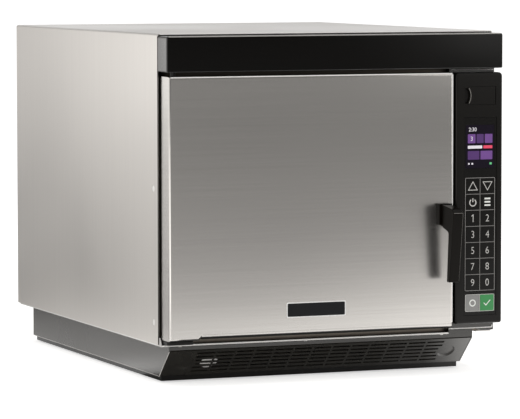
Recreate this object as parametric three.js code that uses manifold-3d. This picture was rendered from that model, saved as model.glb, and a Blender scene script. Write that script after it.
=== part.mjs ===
// Countertop speed oven: a microwave and hot-air oven with a side-hinged door, a keypad column,
// a steel wrap and a dark base that draws cooling air through a slotted filter cover.
// Millimetres. +Z is up, the door faces -Y, and +X is to the right of someone facing the door.
// The origin is on the floor, under the middle of the whole oven, handle included.

import * as THREE from 'three';
import { mergeVertices } from 'three/addons/utils/BufferGeometryUtils.js';
import Module from 'manifold-3d';

const wasm = await Module();
wasm.setup();

// Cooking cavity: the oven is laid out round it
const cavityWidth = 330;
const cavityHeight = 267;
const cavityDepth = 381;
const cavityCorner = 10;
const cavityRise = 48;

// How far the face and the grip stand in front of the body
const faceReach = 34;
const handleReach = 46;

// Fits and cuts
const seat = 0.3;
const running = 0.5;
const overrun = 5;
const sheet = 1.5;

// Outer wrap and floor plate
const wrapBend = 3;
const floorTopZ = 53.8;
const floorInset = 1;
const lipReach = 12;
const lipTabHeight = 10;
const lipTabTop = 3;
const airHoleWidth = 70;
const airHoleDepth = 110;
const airHoleCorner = 8;

// Base pan, its rail and feet
const baseLeftInset = 11.5;
const baseRightInset = 34;
const baseStripReach = 11;
const baseStripZ = 45.8;
const baseStepZ = 57.8;
const baseBottomZ = 8.6;
const baseFootSetback = 28.5;
const baseRearInset = 36.6;
const slopeFrame = 7;
const railInset = 4.5;
const railRearInset = 3;
const railBottomZ = 1.8;
const footRadius = 14;
const footTaper = 2;
const footInset = 34;

// Air filter cover: a sheet with rows of slots, cut short round a pressed finger dish at each end
const slotBridge = 3;
const slotHeight = 3.4;
const slotRowPitch = 7.8;
const slotRows = 6;
const slotColumns = 13;
const slotFieldRight = 40;
const slotFieldLeft = 39.5;
const slotFieldTop = 5.2;
const dishRadius = 12.5;
const dishDepth = 2;
const dishInset = 30;
const dishDownSlope = 28.5;
const dishMargin = 2.5;
const slotLeast = 4;

// Front frame and cavity liner
const frameSetback = 0.5;
const frameFlange = 15;
const ceramicThick = 5;
const ceramicGap = 1;
const linerFlange = 12;
const fanChamberDepth = 54;
const railWidth = 9;
const railThick = 3;
const rackRise = 33;
const railEndGap = 10;
const stirrerOpening = 78;

// Rack
const rackRod = 3;
const rackWire = 1.8;
const rackSideGap = 2;
const rackFrontGap = 25;
const rackRearGap = 12;
const rackWires = 11;

// Fan baffle
const baffleFlange = 10;
const intakeRadiusShare = 0.27;
const intakeRows = 9;
const intakePitchShare = 0.0525;
const intakeSlot = 6;
const intakeBridge = 4;
const outletSlotWidth = 24;
const outletSlotHeight = 4;
const outletPitch = 17;
const outletRows = 12;
const outletInset = 14;

// Convection fan, heater and motor
const fanRadiusShare = 0.345;
const fanDepth = 26;
const fanBlades = 12;
const fanHub = 14;
const fanSheet = 2;
const fanRearGap = 8;
const shaftRadius = 4;
const heaterRadiusShare = 0.42;
const heaterTube = 4;
const heaterEnd = 30;
const heaterRearGap = 22;
const heaterTailReach = 16;
const heaterBend = 12;
const heaterHoleGap = 2;
const heaterClip = 12;
const motorRadius = 42;
const motorLength = 58;
const motorFlange = 52;
const motorFlangeThick = 3;

// Waveguide, stirrer and magnetrons
const ductWidth = 176;
const ductOverhang = 88;
const ductEndGap = 4;
const stirrerRadius = 66;
const bladeWidth = 22;
const bladeTilt = 18;
const stirrerHub = 9;
const stirrerHubHeight = 12;
const stirrerLift = 14;
const stirrerMotorRadius = 25;
const stirrerMotorHeight = 20;
const magnetronWidth = 80;
const magnetronDepth = 72;
const magnetronHeight = 88;
const magnetronFinCount = 6;
const magnetronCore = 20;
const finThick = 1;
const antennaRadius = 9;
const antennaLength = 20;
const antennaHole = 11;

// Transformers, capacitor and cooling blower
const coreWidth = 96;
const coreDepth = 50;
const coreHeight = 86;
const coilWidth = 62;
const coilDepth = 80;
const coilHeight = 50;
const coilCorner = 10;
const coreFoot = 8;
const coreFootThick = 3;
const canWidth = 52;
const canDepth = 34;
const canHeight = 100;
const canSetback = 62;
const terminalRadius = 3;
const terminalHeight = 8;
const blowerWheelShare = 0.308;
const blowerWheelWidth = 46;
const blowerBlades = 16;
const blowerBladeDepth = 9;
const scrollWidth = 60;
const scrollStartShare = 0.35;
const scrollGrowthShare = 0.1;
const scrollWall = 2;
const scrollInletShare = 0.238;
const blowerX = 72;
const blowerSetbackShare = 0.533;
const blowerHubRadius = 10;
const blowerMotorRadius = 22;
const blowerMotorLength = 30;
const blowerFootThick = 4;
const outletHeight = 26;
const outletDepth = 38;

// Rear panel, its louvres and the cord gland
const rearRecess = 5.5;
const rearBay = 151.7;
const louvreLength = 62;
const louvrePitchX = 78;
const louvreSlot = 3;
const louvrePitch = 11;
const louvreRows = 9;
const louvreColumns = 3;
const louvreReach = 4;
const louvreBlade = 1.2;
const louvreTopInset = 40;
const intakeVentRows = 4;
const intakeVentInset = 60;
const glandRadius = 16;
const glandNeck = 11;
const glandBore = 6;
const glandFlange = 4;
const glandInset = 60;
const glandHeight = 38;

// Top trim
const trimInset = 0.5;
const trimTopGap = 2.6;
const trimHeight = 47.7;
const trimWall = 2.5;
const trimEdge = 1.8;
const trimTopCorner = 3.2;
const trimLowCorner = 2;

// Door
const doorLeftGap = 3.5;
const doorSideLap = 40.5;
const doorBottomLap = 35;
const doorTopLap = 41;
const doorTopGap = 5.7;
const doorRearGap = 3;
const doorEdge = 3.2;
const doorTabDrop = 5.5;
const doorTabWidth = 42;
const doorTabRamp = 6;
const doorRearChamfer = 2.5;
const chokeMargin = 16;
const chokeDepth = 18;
const chokeSlot = 3;
const chokePitch = 24;
const chokeSlotDepth = 12;
const plugGap = 6;
const plugDepth = 7.7;
const plugEdge = 3;
const plugFlange = 8;
const sealWidth = 8;
const sealMargin = 8;
const sealEdge = 0.7;
const sealCorner = 14;

// Door hinges
const pinRadius = 4;
const pinInset = 11;
const pinForward = 20;
const pinLength = 12;
const pinShoulder = 6;
const hingeTab = 3;
const hingeWidth = 34;
const hingeLeg = 30;
const hingeNose = 8;
const lowerHingeHeight = 6.2;
const lowerHingeLift = 2;

// Door latch and interlock
const latchRightInset = 16;
const latchBarWidth = 8;
const latchBarDepth = 8;
const latchBarShare = 0.562;
const hookThick = 5;
const hookHeight = 10;
const hookReach = 24;
const hookBarb = 3;
const hookNose = 7;
const hookInset = 14;
const latchTravel = 4;
const latchClear = 1.5;
const swingClear = 3;
const interlockWidth = 24;
const interlockDepth = 34;
const interlockShare = 0.712;
const interlockWall = 2;

// Handle
const handleRight = 6.1;
const handleWidth = 15;
const handleTopShare = 0.4851;
const handleBlockHeight = 28.3;
const handleBlockWidth = 19;
const handleBlockRight = 1;
const handleBlockThick = 8;
const handleArmDrop = 8.9;
const handleBottomShare = 0.18;
const handleGap = 30;
const handleLean = 5;
const handleTipDepth = 8.3;
const handleNoseDrop = 10.2;
const handleFrontSlope = 5.2;
const handleSoft = 1.2;
const handleTipRadius = 1.6;
const handleCornerRadius = 4;

// Control panel and its bracket
const panelWidth = 70;
const panelGap = 4;
const panelSideInset = 0.5;
const panelEdge = 3;
const panelTopCorner = 5;
const panelLowCorner = 3.2;
const panelFrontWall = 7;
const panelWall = 2.5;
const bracketReach = 10;
const bracketLeftInset = 1;
const bracketRightInset = 1.8;
const bracketBottomZ = 58.8;
const bracketWindow = 10;
const bracketFootWidth = 28;
const bracketFootRamp = 8;
const bracketFootDrop = 3.5;

// Keypad overlay, keys and display
const overlayLeft = 12.2;
const overlayRight = 8.7;
const overlayBottom = 11.8;
const overlayTop = 60.8;
const overlayDeep = 0.6;
const overlayThick = 1;
const keyColumnShare = 0.4474;
const keyRowShare = 0.0812;
const keyLeftShare = 0.052;
const keyBottomShare = 0.1263;
const keyRows = 7;
const keyWeb = 0.9;
const keyProud = 0.4;
const keyTravel = 0.5;
const keyDeep = 3.1;
const keyBevel = 0.3;
const padWidthShare = 0.445;
const padHeightShare = 0.0865;
const padLeftShare = 0.055;
const padBottomShare = 0.0203;
const pocketRim = 2.6;
const keyPocketRim = 1.5;
const displayWidthShare = 0.876;
const displayHeightShare = 0.2193;
const displayLeftShare = 0.053;
const displayTopShare = 0.038;
const displayDeep = 3;

// Port hatch
const hatchWidthShare = 0.6;
const hatchHeight = 25;
const hatchRightShare = 0.143;
const hatchTop = 19;
const hatchThick = 2;
const hatchDeep = 0.3;
const hatchKnuckle = 1;
const hatchPin = 0.7;
const hatchPinLength = 1.5;
const hatchPinFit = 0.25;
const scoopHeight = 21;
const scoopDepth = 4;
const scoopPocket = 2;
const portWidth = 16;
const portHeight = 8;

// Control board
const boardThick = 1.6;
const boardSideGap = 5;
const boardEndGap = 14;
const bossRadius = 3;
const bossHeight = 4.7;
const bossInset = 6;
const chipHeight = 6;
const chipShares = [
  [0.2, 0.55, 0.3, 0.7],
  [0.5, 0.85, 0.2, 0.5],
  [0.15, 0.8, 0.35, 0.6],
  [0.3, 0.6, 0.25, 0.75],
];

// Facets on round pieces
const roundSides = 24;
const smallSides = 12;
const wireSides = 6;
const tubeSides = 8;
const tubeSteps = 64;
const heaterSteps = 16;
const cornerSteps = 4;
const edgeSteps = 3;

// Main planes, worked out from the sizes above
const doorWidth = cavityWidth + 2 * doorSideLap;
const doorHeight = cavityHeight + doorBottomLap + doorTopLap;
const bodyWidth = doorLeftGap + doorWidth + panelGap + panelWidth + panelSideInset;
const leftX = -bodyWidth / 2;
const rightX = bodyWidth / 2;
const doorLeftX = leftX + doorLeftGap;
const doorRightX = doorLeftX + doorWidth;
const cavityLeftX = doorLeftX + doorSideLap;
const cavityRightX = cavityLeftX + cavityWidth;
const cavityX = (cavityLeftX + cavityRightX) / 2;

const cavityBottomZ = floorTopZ + cavityRise;
const cavityTopZ = cavityBottomZ + cavityHeight;
const cavityZ = (cavityBottomZ + cavityTopZ) / 2;
const doorBottomZ = cavityBottomZ - doorBottomLap;
const doorTopZ = doorBottomZ + doorHeight;
const trimBottomZ = doorTopZ + doorTopGap;
const trimTopZ = trimBottomZ + trimHeight;
const bodyHeight = trimTopZ + trimTopGap;

const linerSetback = frameSetback + sheet + seat;
const linerDepth = cavityDepth + sheet + fanChamberDepth + sheet;
const bodyDepth = linerSetback + linerDepth + rearBay + sheet + rearRecess;
const frontY = (faceReach + handleReach - bodyDepth) / 2;
const rearY = frontY + bodyDepth;
const faceY = frontY - faceReach;
const frameFrontY = frontY + frameSetback;
const frameRearY = frameFrontY + sheet;
const linerFrontY = frontY + linerSetback;
const linerRearY = linerFrontY + linerDepth;
const chamberRearY = linerRearY - sheet;
const baffleY = linerFrontY + cavityDepth;
const rearPanelY = linerRearY + rearBay;
const stirrerY = (linerFrontY + baffleY) / 2;
const doorRearY = frontY - doorRearGap;
const pinX = doorLeftX + pinInset;
const pinY = frontY - pinForward;

const wrapInnerLeft = leftX + sheet + seat;
const wrapInnerRight = rightX - sheet - seat;
const wrapInnerTop = bodyHeight - sheet - seat;
const floorUnderZ = floorTopZ - sheet;
const standZ = floorTopZ + seat;
const baseTopZ = floorUnderZ - seat;
const baseLeftX = leftX + baseLeftInset;
const baseRightX = rightX - baseRightInset;
const baseRearY = rearY - baseRearInset;
const stripY = frontY - baseStripReach;
const slopeFootY = frontY + baseFootSetback;
const railFrontY = slopeFootY + sheet + seat;

const linerFloorZ = cavityBottomZ - ceramicThick - seat;
const linerUnderZ = linerFloorZ - sheet;
const rackRailZ = cavityBottomZ + rackRise;
const fanRadius = cavityHeight * fanRadiusShare;
const heaterRadius = cavityHeight * heaterRadiusShare;
const intakeRadius = cavityHeight * intakeRadiusShare;
const intakePitch = cavityHeight * intakePitchShare;

const blowerWheelRadius = rearBay * blowerWheelShare;
const scrollStart = rearBay * scrollStartShare;
const scrollGrowth = rearBay * scrollGrowthShare;
const scrollInlet = rearBay * scrollInletShare;

const latchBarHeight = cavityHeight * latchBarShare;
const interlockHeight = cavityHeight * interlockShare;
const handleTopZ = doorBottomZ + doorHeight * handleTopShare;
const handleBottomZ = doorBottomZ + doorHeight * handleBottomShare;

const panelLeftX = doorRightX + panelGap;
const panelRightX = panelLeftX + panelWidth;
const panelRearY = frontY - bracketReach - seat;
const overlayLeftX = panelLeftX + overlayLeft;
const overlayRightX = panelRightX - overlayRight;
const overlayBottomZ = doorBottomZ + overlayBottom;
const overlayTopZ = doorTopZ - overlayTop;
const overlayWidth = overlayRightX - overlayLeftX;
const overlayHeight = overlayTopZ - overlayBottomZ;
const keyColumnPitch = overlayWidth * keyColumnShare;
const keyRowPitch = overlayHeight * keyRowShare;
const padWidth = overlayWidth * padWidthShare;
const padHeight = overlayHeight * padHeightShare;
const padBottomZ = overlayBottomZ + overlayHeight * padBottomShare;
const displayWidth = overlayWidth * displayWidthShare;
const displayHeight = overlayHeight * displayHeightShare;
const hatchWidth = panelWidth * hatchWidthShare;

// Finishes
const finish = (color, roughness, metalness) =>
  new THREE.MeshStandardMaterial({ color, roughness, metalness });
const brushedSteel = finish(0xc9c6c1, 0.38, 1);
const doorSteel = finish(0xbdbab5, 0.34, 1);
const innerSteel = finish(0xa9a8a5, 0.45, 1);
const galvanised = finish(0x9a9c9d, 0.55, 0.9);
const darkPaint = finish(0x3b3833, 0.55, 0.3);
const blackPlastic = finish(0x1d1b1a, 0.45, 0);
const overlayFilm = finish(0x151514, 0.3, 0);
const keyFilm = finish(0x1c1b1a, 0.35, 0);
const greyKey = finish(0x8b8b89, 0.4, 0);
const greenKey = finish(0x2f8f4a, 0.4, 0);
const screenGlass = finish(0x2a1f36, 0.12, 0);
const rubber = finish(0x1a1a1a, 0.9, 0);
const silicone = finish(0x55524f, 0.8, 0);
const ceramic = finish(0xd8d3c8, 0.5, 0);
const copper = finish(0xa5643a, 0.4, 0.8);
const boardGreen = finish(0x1f5a36, 0.6, 0);

// Solids from three.js geometry
function toSolid(geometry) {
  const bare = geometry.clone();
  bare.deleteAttribute('normal');
  bare.deleteAttribute('uv');
  const merged = mergeVertices(bare);
  const vertProperties = new Float32Array(merged.attributes.position.array);
  const triVerts = new Uint32Array(merged.index.array);
  return new wasm.Manifold(new wasm.Mesh({ numProp: 3, vertProperties, triVerts }));
}

function toGeometry(solid) {
  const mesh = solid.getMesh();
  const geometry = new THREE.BufferGeometry();
  geometry.setAttribute('position', new THREE.BufferAttribute(mesh.vertProperties, 3));
  geometry.setIndex(new THREE.BufferAttribute(mesh.triVerts, 1));
  geometry.computeVertexNormals();
  return geometry;
}

const joinAll = (solids) => solids.reduce((whole, piece) => whole.add(piece));
const cutAll = (solid, cutters) => cutters.reduce((rest, cutter) => rest.subtract(cutter), solid);

// A block between two corners
function block(x0, x1, y0, y1, z0, z1) {
  const geometry = new THREE.BoxGeometry(x1 - x0, y1 - y0, z1 - z0);
  geometry.translate((x0 + x1) / 2, (y0 + y1) / 2, (z0 + z1) / 2);
  return toSolid(geometry);
}

const extrudeOptions = (depth, steps) => ({ depth, bevelEnabled: false, curveSegments: steps });

// A shape drawn in X and Z, as a plate from y0 back to y1
function plateY(shape, y0, y1, steps = cornerSteps) {
  const geometry = new THREE.ExtrudeGeometry(shape, extrudeOptions(y1 - y0, steps));
  geometry.rotateX(Math.PI / 2);
  geometry.translate(0, y1, 0);
  return toSolid(geometry);
}

// Square openings, each given in X and Z, through a plate between y0 and y1
function punch(plate, openings, y0, y1) {
  const cutters = openings.map(([x0, x1, z0, z1]) => block(x0, x1, y0 - overrun, y1 + overrun, z0, z1));
  return cutAll(plate, cutters);
}

// A shape drawn in Y and Z, as a plate from x0 to x1
function plateX(shape, x0, x1, steps = cornerSteps) {
  const geometry = new THREE.ExtrudeGeometry(shape, extrudeOptions(x1 - x0, steps));
  const turn = new THREE.Matrix4().makeBasis(
    new THREE.Vector3(0, 1, 0),
    new THREE.Vector3(0, 0, 1),
    new THREE.Vector3(1, 0, 0)
  );
  geometry.applyMatrix4(turn);
  geometry.translate(x0, 0, 0);
  return toSolid(geometry);
}

// A shape drawn in X and Y, as a plate from z0 up to z1
function plateZ(shape, z0, z1, steps = cornerSteps) {
  const geometry = new THREE.ExtrudeGeometry(shape, extrudeOptions(z1 - z0, steps));
  geometry.translate(0, 0, z0);
  return toSolid(geometry);
}

// A plate in X and Z from y0 back to y1, with its front edge rounded
function softPlateY(shape, y0, y1, edge, steps = cornerSteps) {
  const options = {
    depth: y1 - y0,
    bevelEnabled: true,
    bevelThickness: edge,
    bevelSize: edge,
    bevelOffset: -edge,
    bevelSegments: edgeSteps,
    curveSegments: steps,
  };
  const geometry = new THREE.ExtrudeGeometry(shape, options);
  geometry.rotateX(Math.PI / 2);
  geometry.translate(0, y1 + edge, 0);
  geometry.computeBoundingBox();
  const { min, max } = geometry.boundingBox;
  const reach = edge + overrun;
  const rear = block(min.x - reach, max.x + reach, y1, max.y + reach, min.z - reach, max.z + reach);
  return toSolid(geometry).subtract(rear);
}

// A round rod between two points
function rod(from, to, radius, sides = smallSides, endRadius = radius) {
  const start = new THREE.Vector3(...from);
  const end = new THREE.Vector3(...to);
  const along = end.clone().sub(start);
  const geometry = new THREE.CylinderGeometry(endRadius, radius, along.length(), sides);
  const up = new THREE.Vector3(0, 1, 0);
  geometry.applyQuaternion(new THREE.Quaternion().setFromUnitVectors(up, along.normalize()));
  const middle = start.add(end).multiplyScalar(1 / 2);
  geometry.translate(middle.x, middle.y, middle.z);
  return toSolid(geometry);
}

// A closed outline through corners, each rounded where it has a radius
function outline(corners) {
  const count = corners.length;
  const points = corners.map((corner, index) => {
    const before = corners[(index + count - 1) % count];
    const after = corners[(index + 1) % count];
    return cornerPoints(corner, before, after);
  });
  return new THREE.Shape(points.flat());
}

function cornerPoints([x, y, radius = 0], before, after) {
  const tip = new THREE.Vector2(x, y);
  if (radius <= 0) {
    return [tip];
  }
  const toBefore = new THREE.Vector2(before[0], before[1]).sub(tip).normalize();
  const toAfter = new THREE.Vector2(after[0], after[1]).sub(tip).normalize();
  const halfAngle = Math.acos(toBefore.dot(toAfter)) / 2;
  const inward = toBefore.clone().add(toAfter).normalize();
  const centre = tip.clone().addScaledVector(inward, radius / Math.sin(halfAngle));
  const step = radius / Math.tan(halfAngle);
  const start = tip.clone().addScaledVector(toBefore, step).sub(centre).angle();
  const sweep = (Math.PI - 2 * halfAngle) * (toBefore.cross(toAfter) > 0 ? -1 : 1);
  const points = [];
  for (let index = 0; index <= cornerSteps; index += 1) {
    const angle = start + (sweep * index) / cornerSteps;
    const arm = new THREE.Vector2(Math.cos(angle), Math.sin(angle));
    points.push(centre.clone().addScaledVector(arm, radius));
  }
  return points;
}

const rectangle = (x0, x1, y0, y1, radius = 0) =>
  outline([[x0, y0, radius], [x1, y0, radius], [x1, y1, radius], [x0, y1, radius]]);

function ringShape(outer, inner) {
  outer.holes.push(inner);
  return outer;
}

// Pieces and their groups
const oven = new THREE.Group();
oven.name = 'speed_oven';

function assembly(name) {
  const group = new THREE.Group();
  group.name = name;
  oven.add(group);
  return group;
}

const cabinet = assembly('cabinet_assembly');
const chamber = assembly('cooking_chamber');
const powerUnit = assembly('power_and_cooling');
const doorGroup = assembly('door_assembly');
const controls = assembly('control_panel_assembly');

function addPiece(group, name, solid, material, position = [0, 0, 0], tilt = 0) {
  const mesh = new THREE.Mesh(toGeometry(solid), material);
  mesh.name = name;
  mesh.position.set(...position);
  mesh.rotation.x = tilt;
  group.add(mesh);
  return mesh;
}

// Outer wrap: one sheet bent over the left side, the top and the right side
function makeOuterWrap() {
  const bend = wrapBend;
  const innerBend = wrapBend - sheet;
  const innerTop = bodyHeight - sheet;
  const shape = outline([
    [leftX, standZ],
    [leftX, bodyHeight, bend],
    [rightX, bodyHeight, bend],
    [rightX, standZ],
    [rightX - sheet, standZ],
    [rightX - sheet, innerTop, innerBend],
    [leftX + sheet, innerTop, innerBend],
    [leftX + sheet, standZ],
  ]);
  return plateY(shape, frontY, rearY);
}

// Floor plate: it carries the cavity and the power unit, and its lip shows under the door
function makeFloorPlate() {
  const left = leftX + floorInset;
  const right = rightX - floorInset;
  const lipRight = panelLeftX + panelSideInset;
  const plate = block(left, right, frontY, rearPanelY - seat, floorUnderZ, floorTopZ);
  const lip = block(left, lipRight, frontY - lipReach, frontY + sheet, floorUnderZ, floorTopZ);
  const tabZ = floorTopZ + lipTabHeight;
  const tab = outline([
    [frontY - lipReach, floorUnderZ],
    [frontY - seat, floorUnderZ],
    [frontY - seat, tabZ],
    [frontY - lipTabTop, tabZ],
  ]);
  const shaftHole = rod(
    [cavityX, stirrerY, floorUnderZ - overrun],
    [cavityX, stirrerY, floorTopZ + overrun],
    shaftRadius + running
  );
  const airHole = (x, y) => {
    const halfWidth = airHoleWidth / 2;
    const halfDepth = airHoleDepth / 2;
    const hole = rectangle(x - halfWidth, x + halfWidth, y - halfDepth, y + halfDepth, airHoleCorner);
    return plateZ(hole, floorUnderZ - overrun, floorTopZ + overrun);
  };
  const whole = joinAll([plate, lip, plateX(tab, left, left + sheet)]);
  const blowerHole = airHole(blowerCentreX - scrollWidth / 2, blowerCentreY - airHoleDepth - scrollStart);
  const bayHole = airHole(bayX, ductY0 - airHoleDepth / 2);
  return cutAll(whole, [shaftHole, blowerHole, bayHole]);
}

// Base pan: sides cut to the sloped front, with a window frame that the filter cover lies on
const slope = new THREE.Vector2(slopeFootY - stripY, baseBottomZ - baseStripZ);
const slopeLength = slope.length();
const slopeAngle = Math.PI - Math.atan2(-slope.y, slope.x);
const slopeIn = new THREE.Vector2(-slope.y, slope.x).normalize();
const filterDepth = sheet + seat;
const filterEndGap = sheet + seat;

function slopePoint(down, inward) {
  const along = slope.clone().normalize();
  return [
    stripY + along.x * down + slopeIn.x * inward,
    baseStripZ + along.y * down + slopeIn.y * inward,
  ];
}

const stripBottomZ = slopePoint(0, filterDepth)[1];

function makeBasePan() {
  const profile = outline([
    [stripY, baseTopZ],
    [stripY, baseStripZ],
    [slopeFootY, baseBottomZ],
    [baseRearY, baseBottomZ],
    [baseRearY, baseTopZ],
  ]);
  const inside = sheet / 2;
  const left = plateX(profile, baseLeftX, baseLeftX + sheet);
  const right = plateX(profile, baseRightX - sheet, baseRightX);
  const x0 = baseLeftX + inside;
  const x1 = baseRightX - inside;
  const bottom = block(x0, x1, slopeFootY, baseRearY, baseBottomZ, baseBottomZ + sheet);
  const rear = block(x0, x1, baseRearY - sheet, baseRearY, baseBottomZ, baseTopZ);
  const strip = block(x0, x1, stripY, stripY + sheet, stripBottomZ, baseTopZ);
  const stepLeft = panelLeftX + panelSideInset + seat;
  const step = block(stepLeft, baseRightX, stripY, stripY + sheet, baseTopZ - sheet, baseStepZ);
  const frame = outline([
    slopePoint(0, filterDepth),
    slopePoint(slopeLength, filterDepth),
    slopePoint(slopeLength + sheet, filterDepth + sheet),
    slopePoint(-sheet, filterDepth + sheet),
  ]);
  const room = outline([
    slopePoint(0, -overrun),
    slopePoint(slopeLength, -overrun),
    slopePoint(slopeLength, filterDepth),
    slopePoint(0, filterDepth),
  ]);
  const frameTop = slopeFrame;
  const frameEnd = slopeLength - slopeFrame;
  const opening = outline([
    slopePoint(frameTop, 0),
    slopePoint(frameEnd, 0),
    slopePoint(frameEnd, filterDepth + overrun),
    slopePoint(frameTop, filterDepth + overrun),
  ]);
  const openingLeft = baseLeftX + filterEndGap + slopeFrame;
  const openingRight = baseRightX - filterEndGap - slopeFrame;
  const sloped = plateX(frame, x0, x1).subtract(plateX(opening, openingLeft, openingRight));
  const flange = ringShape(
    rectangle(baseLeftX, baseRightX, stripY, baseRearY),
    rectangle(
      baseLeftX + frameFlange,
      baseRightX - frameFlange,
      stripY + frameFlange,
      baseRearY - frameFlange
    )
  );
  const topFlange = plateZ(flange, baseTopZ - sheet, baseTopZ);
  const rail = ringShape(
    rectangle(
      baseLeftX + railInset,
      baseRightX - railInset,
      railFrontY,
      baseRearY - railRearInset
    ),
    rectangle(
      baseLeftX + railInset + sheet,
      baseRightX - railInset - sheet,
      railFrontY + sheet,
      baseRearY - railRearInset - sheet
    )
  );
  const railRing = plateZ(rail, railBottomZ, baseBottomZ + sheet / 2);
  const ends = joinAll([bottom, strip, sloped]).subtract(plateX(room, x0, x1));
  return joinAll([ends, left, right, rear, step, topFlange, railRing]);
}

// Feet: four low rubber pads inside the rail
function makeFoot() {
  const top = baseBottomZ - seat;
  const profile = [[0, 0], [footRadius - footTaper, 0], [footRadius, footTaper], [footRadius, top], [0, top]];
  const geometry = new THREE.LatheGeometry(profile.map(([x, y]) => new THREE.Vector2(x, y)), roundSides);
  geometry.rotateX(Math.PI / 2);
  return toSolid(geometry);
}

function addFeet() {
  const sides = { left: baseLeftX + footInset, right: baseRightX - footInset };
  const ends = { front: slopeFootY + footInset, rear: baseRearY - railRearInset - footInset };
  for (const [endName, y] of Object.entries(ends)) {
    for (const [sideName, x] of Object.entries(sides)) {
      addPiece(cabinet, `foot_${endName}_${sideName}`, makeFoot(), rubber, [x, y, 0]);
    }
  }
}

// Air filter cover, drawn flat: X across, Y up the slope, Z out of the oven
function slotSpans(centreV) {
  const right = baseRightX - slotFieldRight;
  const slotPitch = (right - baseLeftX - slotFieldLeft) / slotColumns;
  const slotLength = slotPitch - slotBridge;
  const spans = [];
  for (let column = 0; column < slotColumns; column += 1) {
    const x1 = right - column * slotPitch;
    spans.push([x1 - slotLength, x1]);
  }
  const rise = centreV + dishDownSlope;
  const keepOut = dishRadius + dishMargin;
  const half = Math.sqrt(Math.max(keepOut ** 2 - rise ** 2, 0));
  const [dishLeft, dishRight] = dishPlaces();
  const [low, high] = [dishLeft + half, dishRight - half];
  const cut = spans.map(([x0, x1]) => [Math.max(x0, low), Math.min(x1, high)]);
  return cut.filter(([x0, x1]) => x1 - x0 > slotLeast);
}

const dishPlaces = () => [baseLeftX + dishInset, baseRightX - dishInset];

// A finger dish pressed into the sheet: the bulge behind it and the hollow in front
function addDish(plate, x) {
  const at = (height) => [x, -dishDownSlope, height];
  const floorRadius = dishRadius - dishDepth;
  const bulge = rod(at(-dishDepth), at(sheet / 2), floorRadius + sheet, roundSides, dishRadius + sheet);
  const hollow = rod(
    at(sheet - dishDepth),
    at(sheet + dishDepth),
    floorRadius,
    roundSides,
    dishRadius + dishDepth
  );
  return plate.add(bulge).subtract(hollow);
}

function makeAirFilter() {
  const x0 = baseLeftX + filterEndGap;
  const x1 = baseRightX - filterEndGap;
  const slots = [];
  for (let row = 0; row < slotRows; row += 1) {
    const v = -slotFieldTop - slotHeight / 2 - row * slotRowPitch;
    for (const [left, right] of slotSpans(v)) {
      slots.push(block(left, right, v - slotHeight / 2, v + slotHeight / 2, -overrun, sheet + overrun));
    }
  }
  const plate = cutAll(block(x0, x1, -slopeLength + seat, -seat, 0, sheet), slots);
  return dishPlaces().reduce(addDish, plate);
}

function addAirFilter() {
  const [y, z] = slopePoint(0, sheet);
  addPiece(cabinet, 'air_filter', makeAirFilter(), darkPaint, [0, y, z], slopeAngle);
}

// Front frame: the face round the cavity mouth, with flanges inside the wrap
function makeFrontFrame() {
  const face = rectangle(wrapInnerLeft, wrapInnerRight, standZ, wrapInnerTop, wrapBend);
  face.holes.push(rectangle(cavityLeftX, cavityRightX, cavityBottomZ, cavityTopZ, cavityCorner));
  for (const z of hookHeights()) {
    face.holes.push(rectangle(...hookSlot(z)));
  }
  const cableLeft = panelLeftX + bracketWindow + bracketLeftInset;
  const cableRight = wrapInnerRight - bracketWindow - bracketRightInset;
  face.holes.push(rectangle(cableLeft, cableRight, cavityZ, cavityTopZ, airHoleCorner));
  const flangeShape = ringShape(
    rectangle(wrapInnerLeft, wrapInnerRight, standZ, wrapInnerTop, wrapBend),
    rectangle(
      wrapInnerLeft + sheet,
      wrapInnerRight - sheet,
      standZ + sheet,
      wrapInnerTop - sheet,
      wrapBend - sheet
    )
  );
  const flange = plateY(flangeShape, frameFrontY, frameFrontY + frameFlange);
  return plateY(face, frameFrontY, frameRearY).add(flange);
}

// Cavity liner: the welded box behind the frame, with rails for the rack
function makeLiner() {
  const outer = block(
    cavityLeftX - sheet,
    cavityRightX + sheet,
    linerFrontY,
    linerRearY,
    linerUnderZ,
    cavityTopZ + sheet
  );
  const inner = block(
    cavityLeftX,
    cavityRightX,
    linerFrontY - overrun,
    chamberRearY,
    linerFloorZ,
    cavityTopZ
  );
  const flangeShape = rectangle(
    cavityLeftX - sheet - linerFlange,
    cavityRightX + sheet + linerFlange,
    linerUnderZ - linerFlange,
    cavityTopZ + sheet + linerFlange
  );
  const flange = plateY(flangeShape, linerFrontY, linerFrontY + sheet);
  const railY0 = linerFrontY + railEndGap;
  const railY1 = baffleY - railEndGap;
  const railZ0 = rackRailZ - railThick;
  const railBlock = (x0, x1) => block(x0, x1, railY0, railY1, railZ0, rackRailZ);
  const leftRail = railBlock(cavityLeftX - sheet / 2, cavityLeftX + railWidth);
  const rightRail = railBlock(cavityRightX - railWidth, cavityRightX + sheet / 2);
  const feedHole = rod(
    [cavityX, stirrerY, linerUnderZ - overrun],
    [cavityX, stirrerY, linerFloorZ + overrun],
    stirrerOpening,
    roundSides
  );
  const holeY0 = chamberRearY - overrun;
  const holeY1 = linerRearY + overrun;
  const rearHole = (x, z, radius) => rod([x, holeY0, z], [x, holeY1, z], radius);
  const shell = outer.add(flange).subtract(inner);
  const cuts = [feedHole, rearHole(cavityX, cavityZ, shaftRadius + running)];
  for (const x of heaterTails()) {
    cuts.push(rearHole(x, cavityZ - heaterRadius, heaterTube + heaterHoleGap));
  }
  return cutAll(joinAll([shell, leftRail, rightRail]), cuts);
}

// Ceramic floor plate over the stirrer
function makeCeramicFloor() {
  const shape = rectangle(
    cavityLeftX + ceramicGap,
    cavityRightX - ceramicGap,
    linerFrontY + ceramicGap,
    baffleY - ceramicGap,
    cavityCorner
  );
  return plateZ(shape, linerFloorZ + seat, cavityBottomZ);
}

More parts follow.
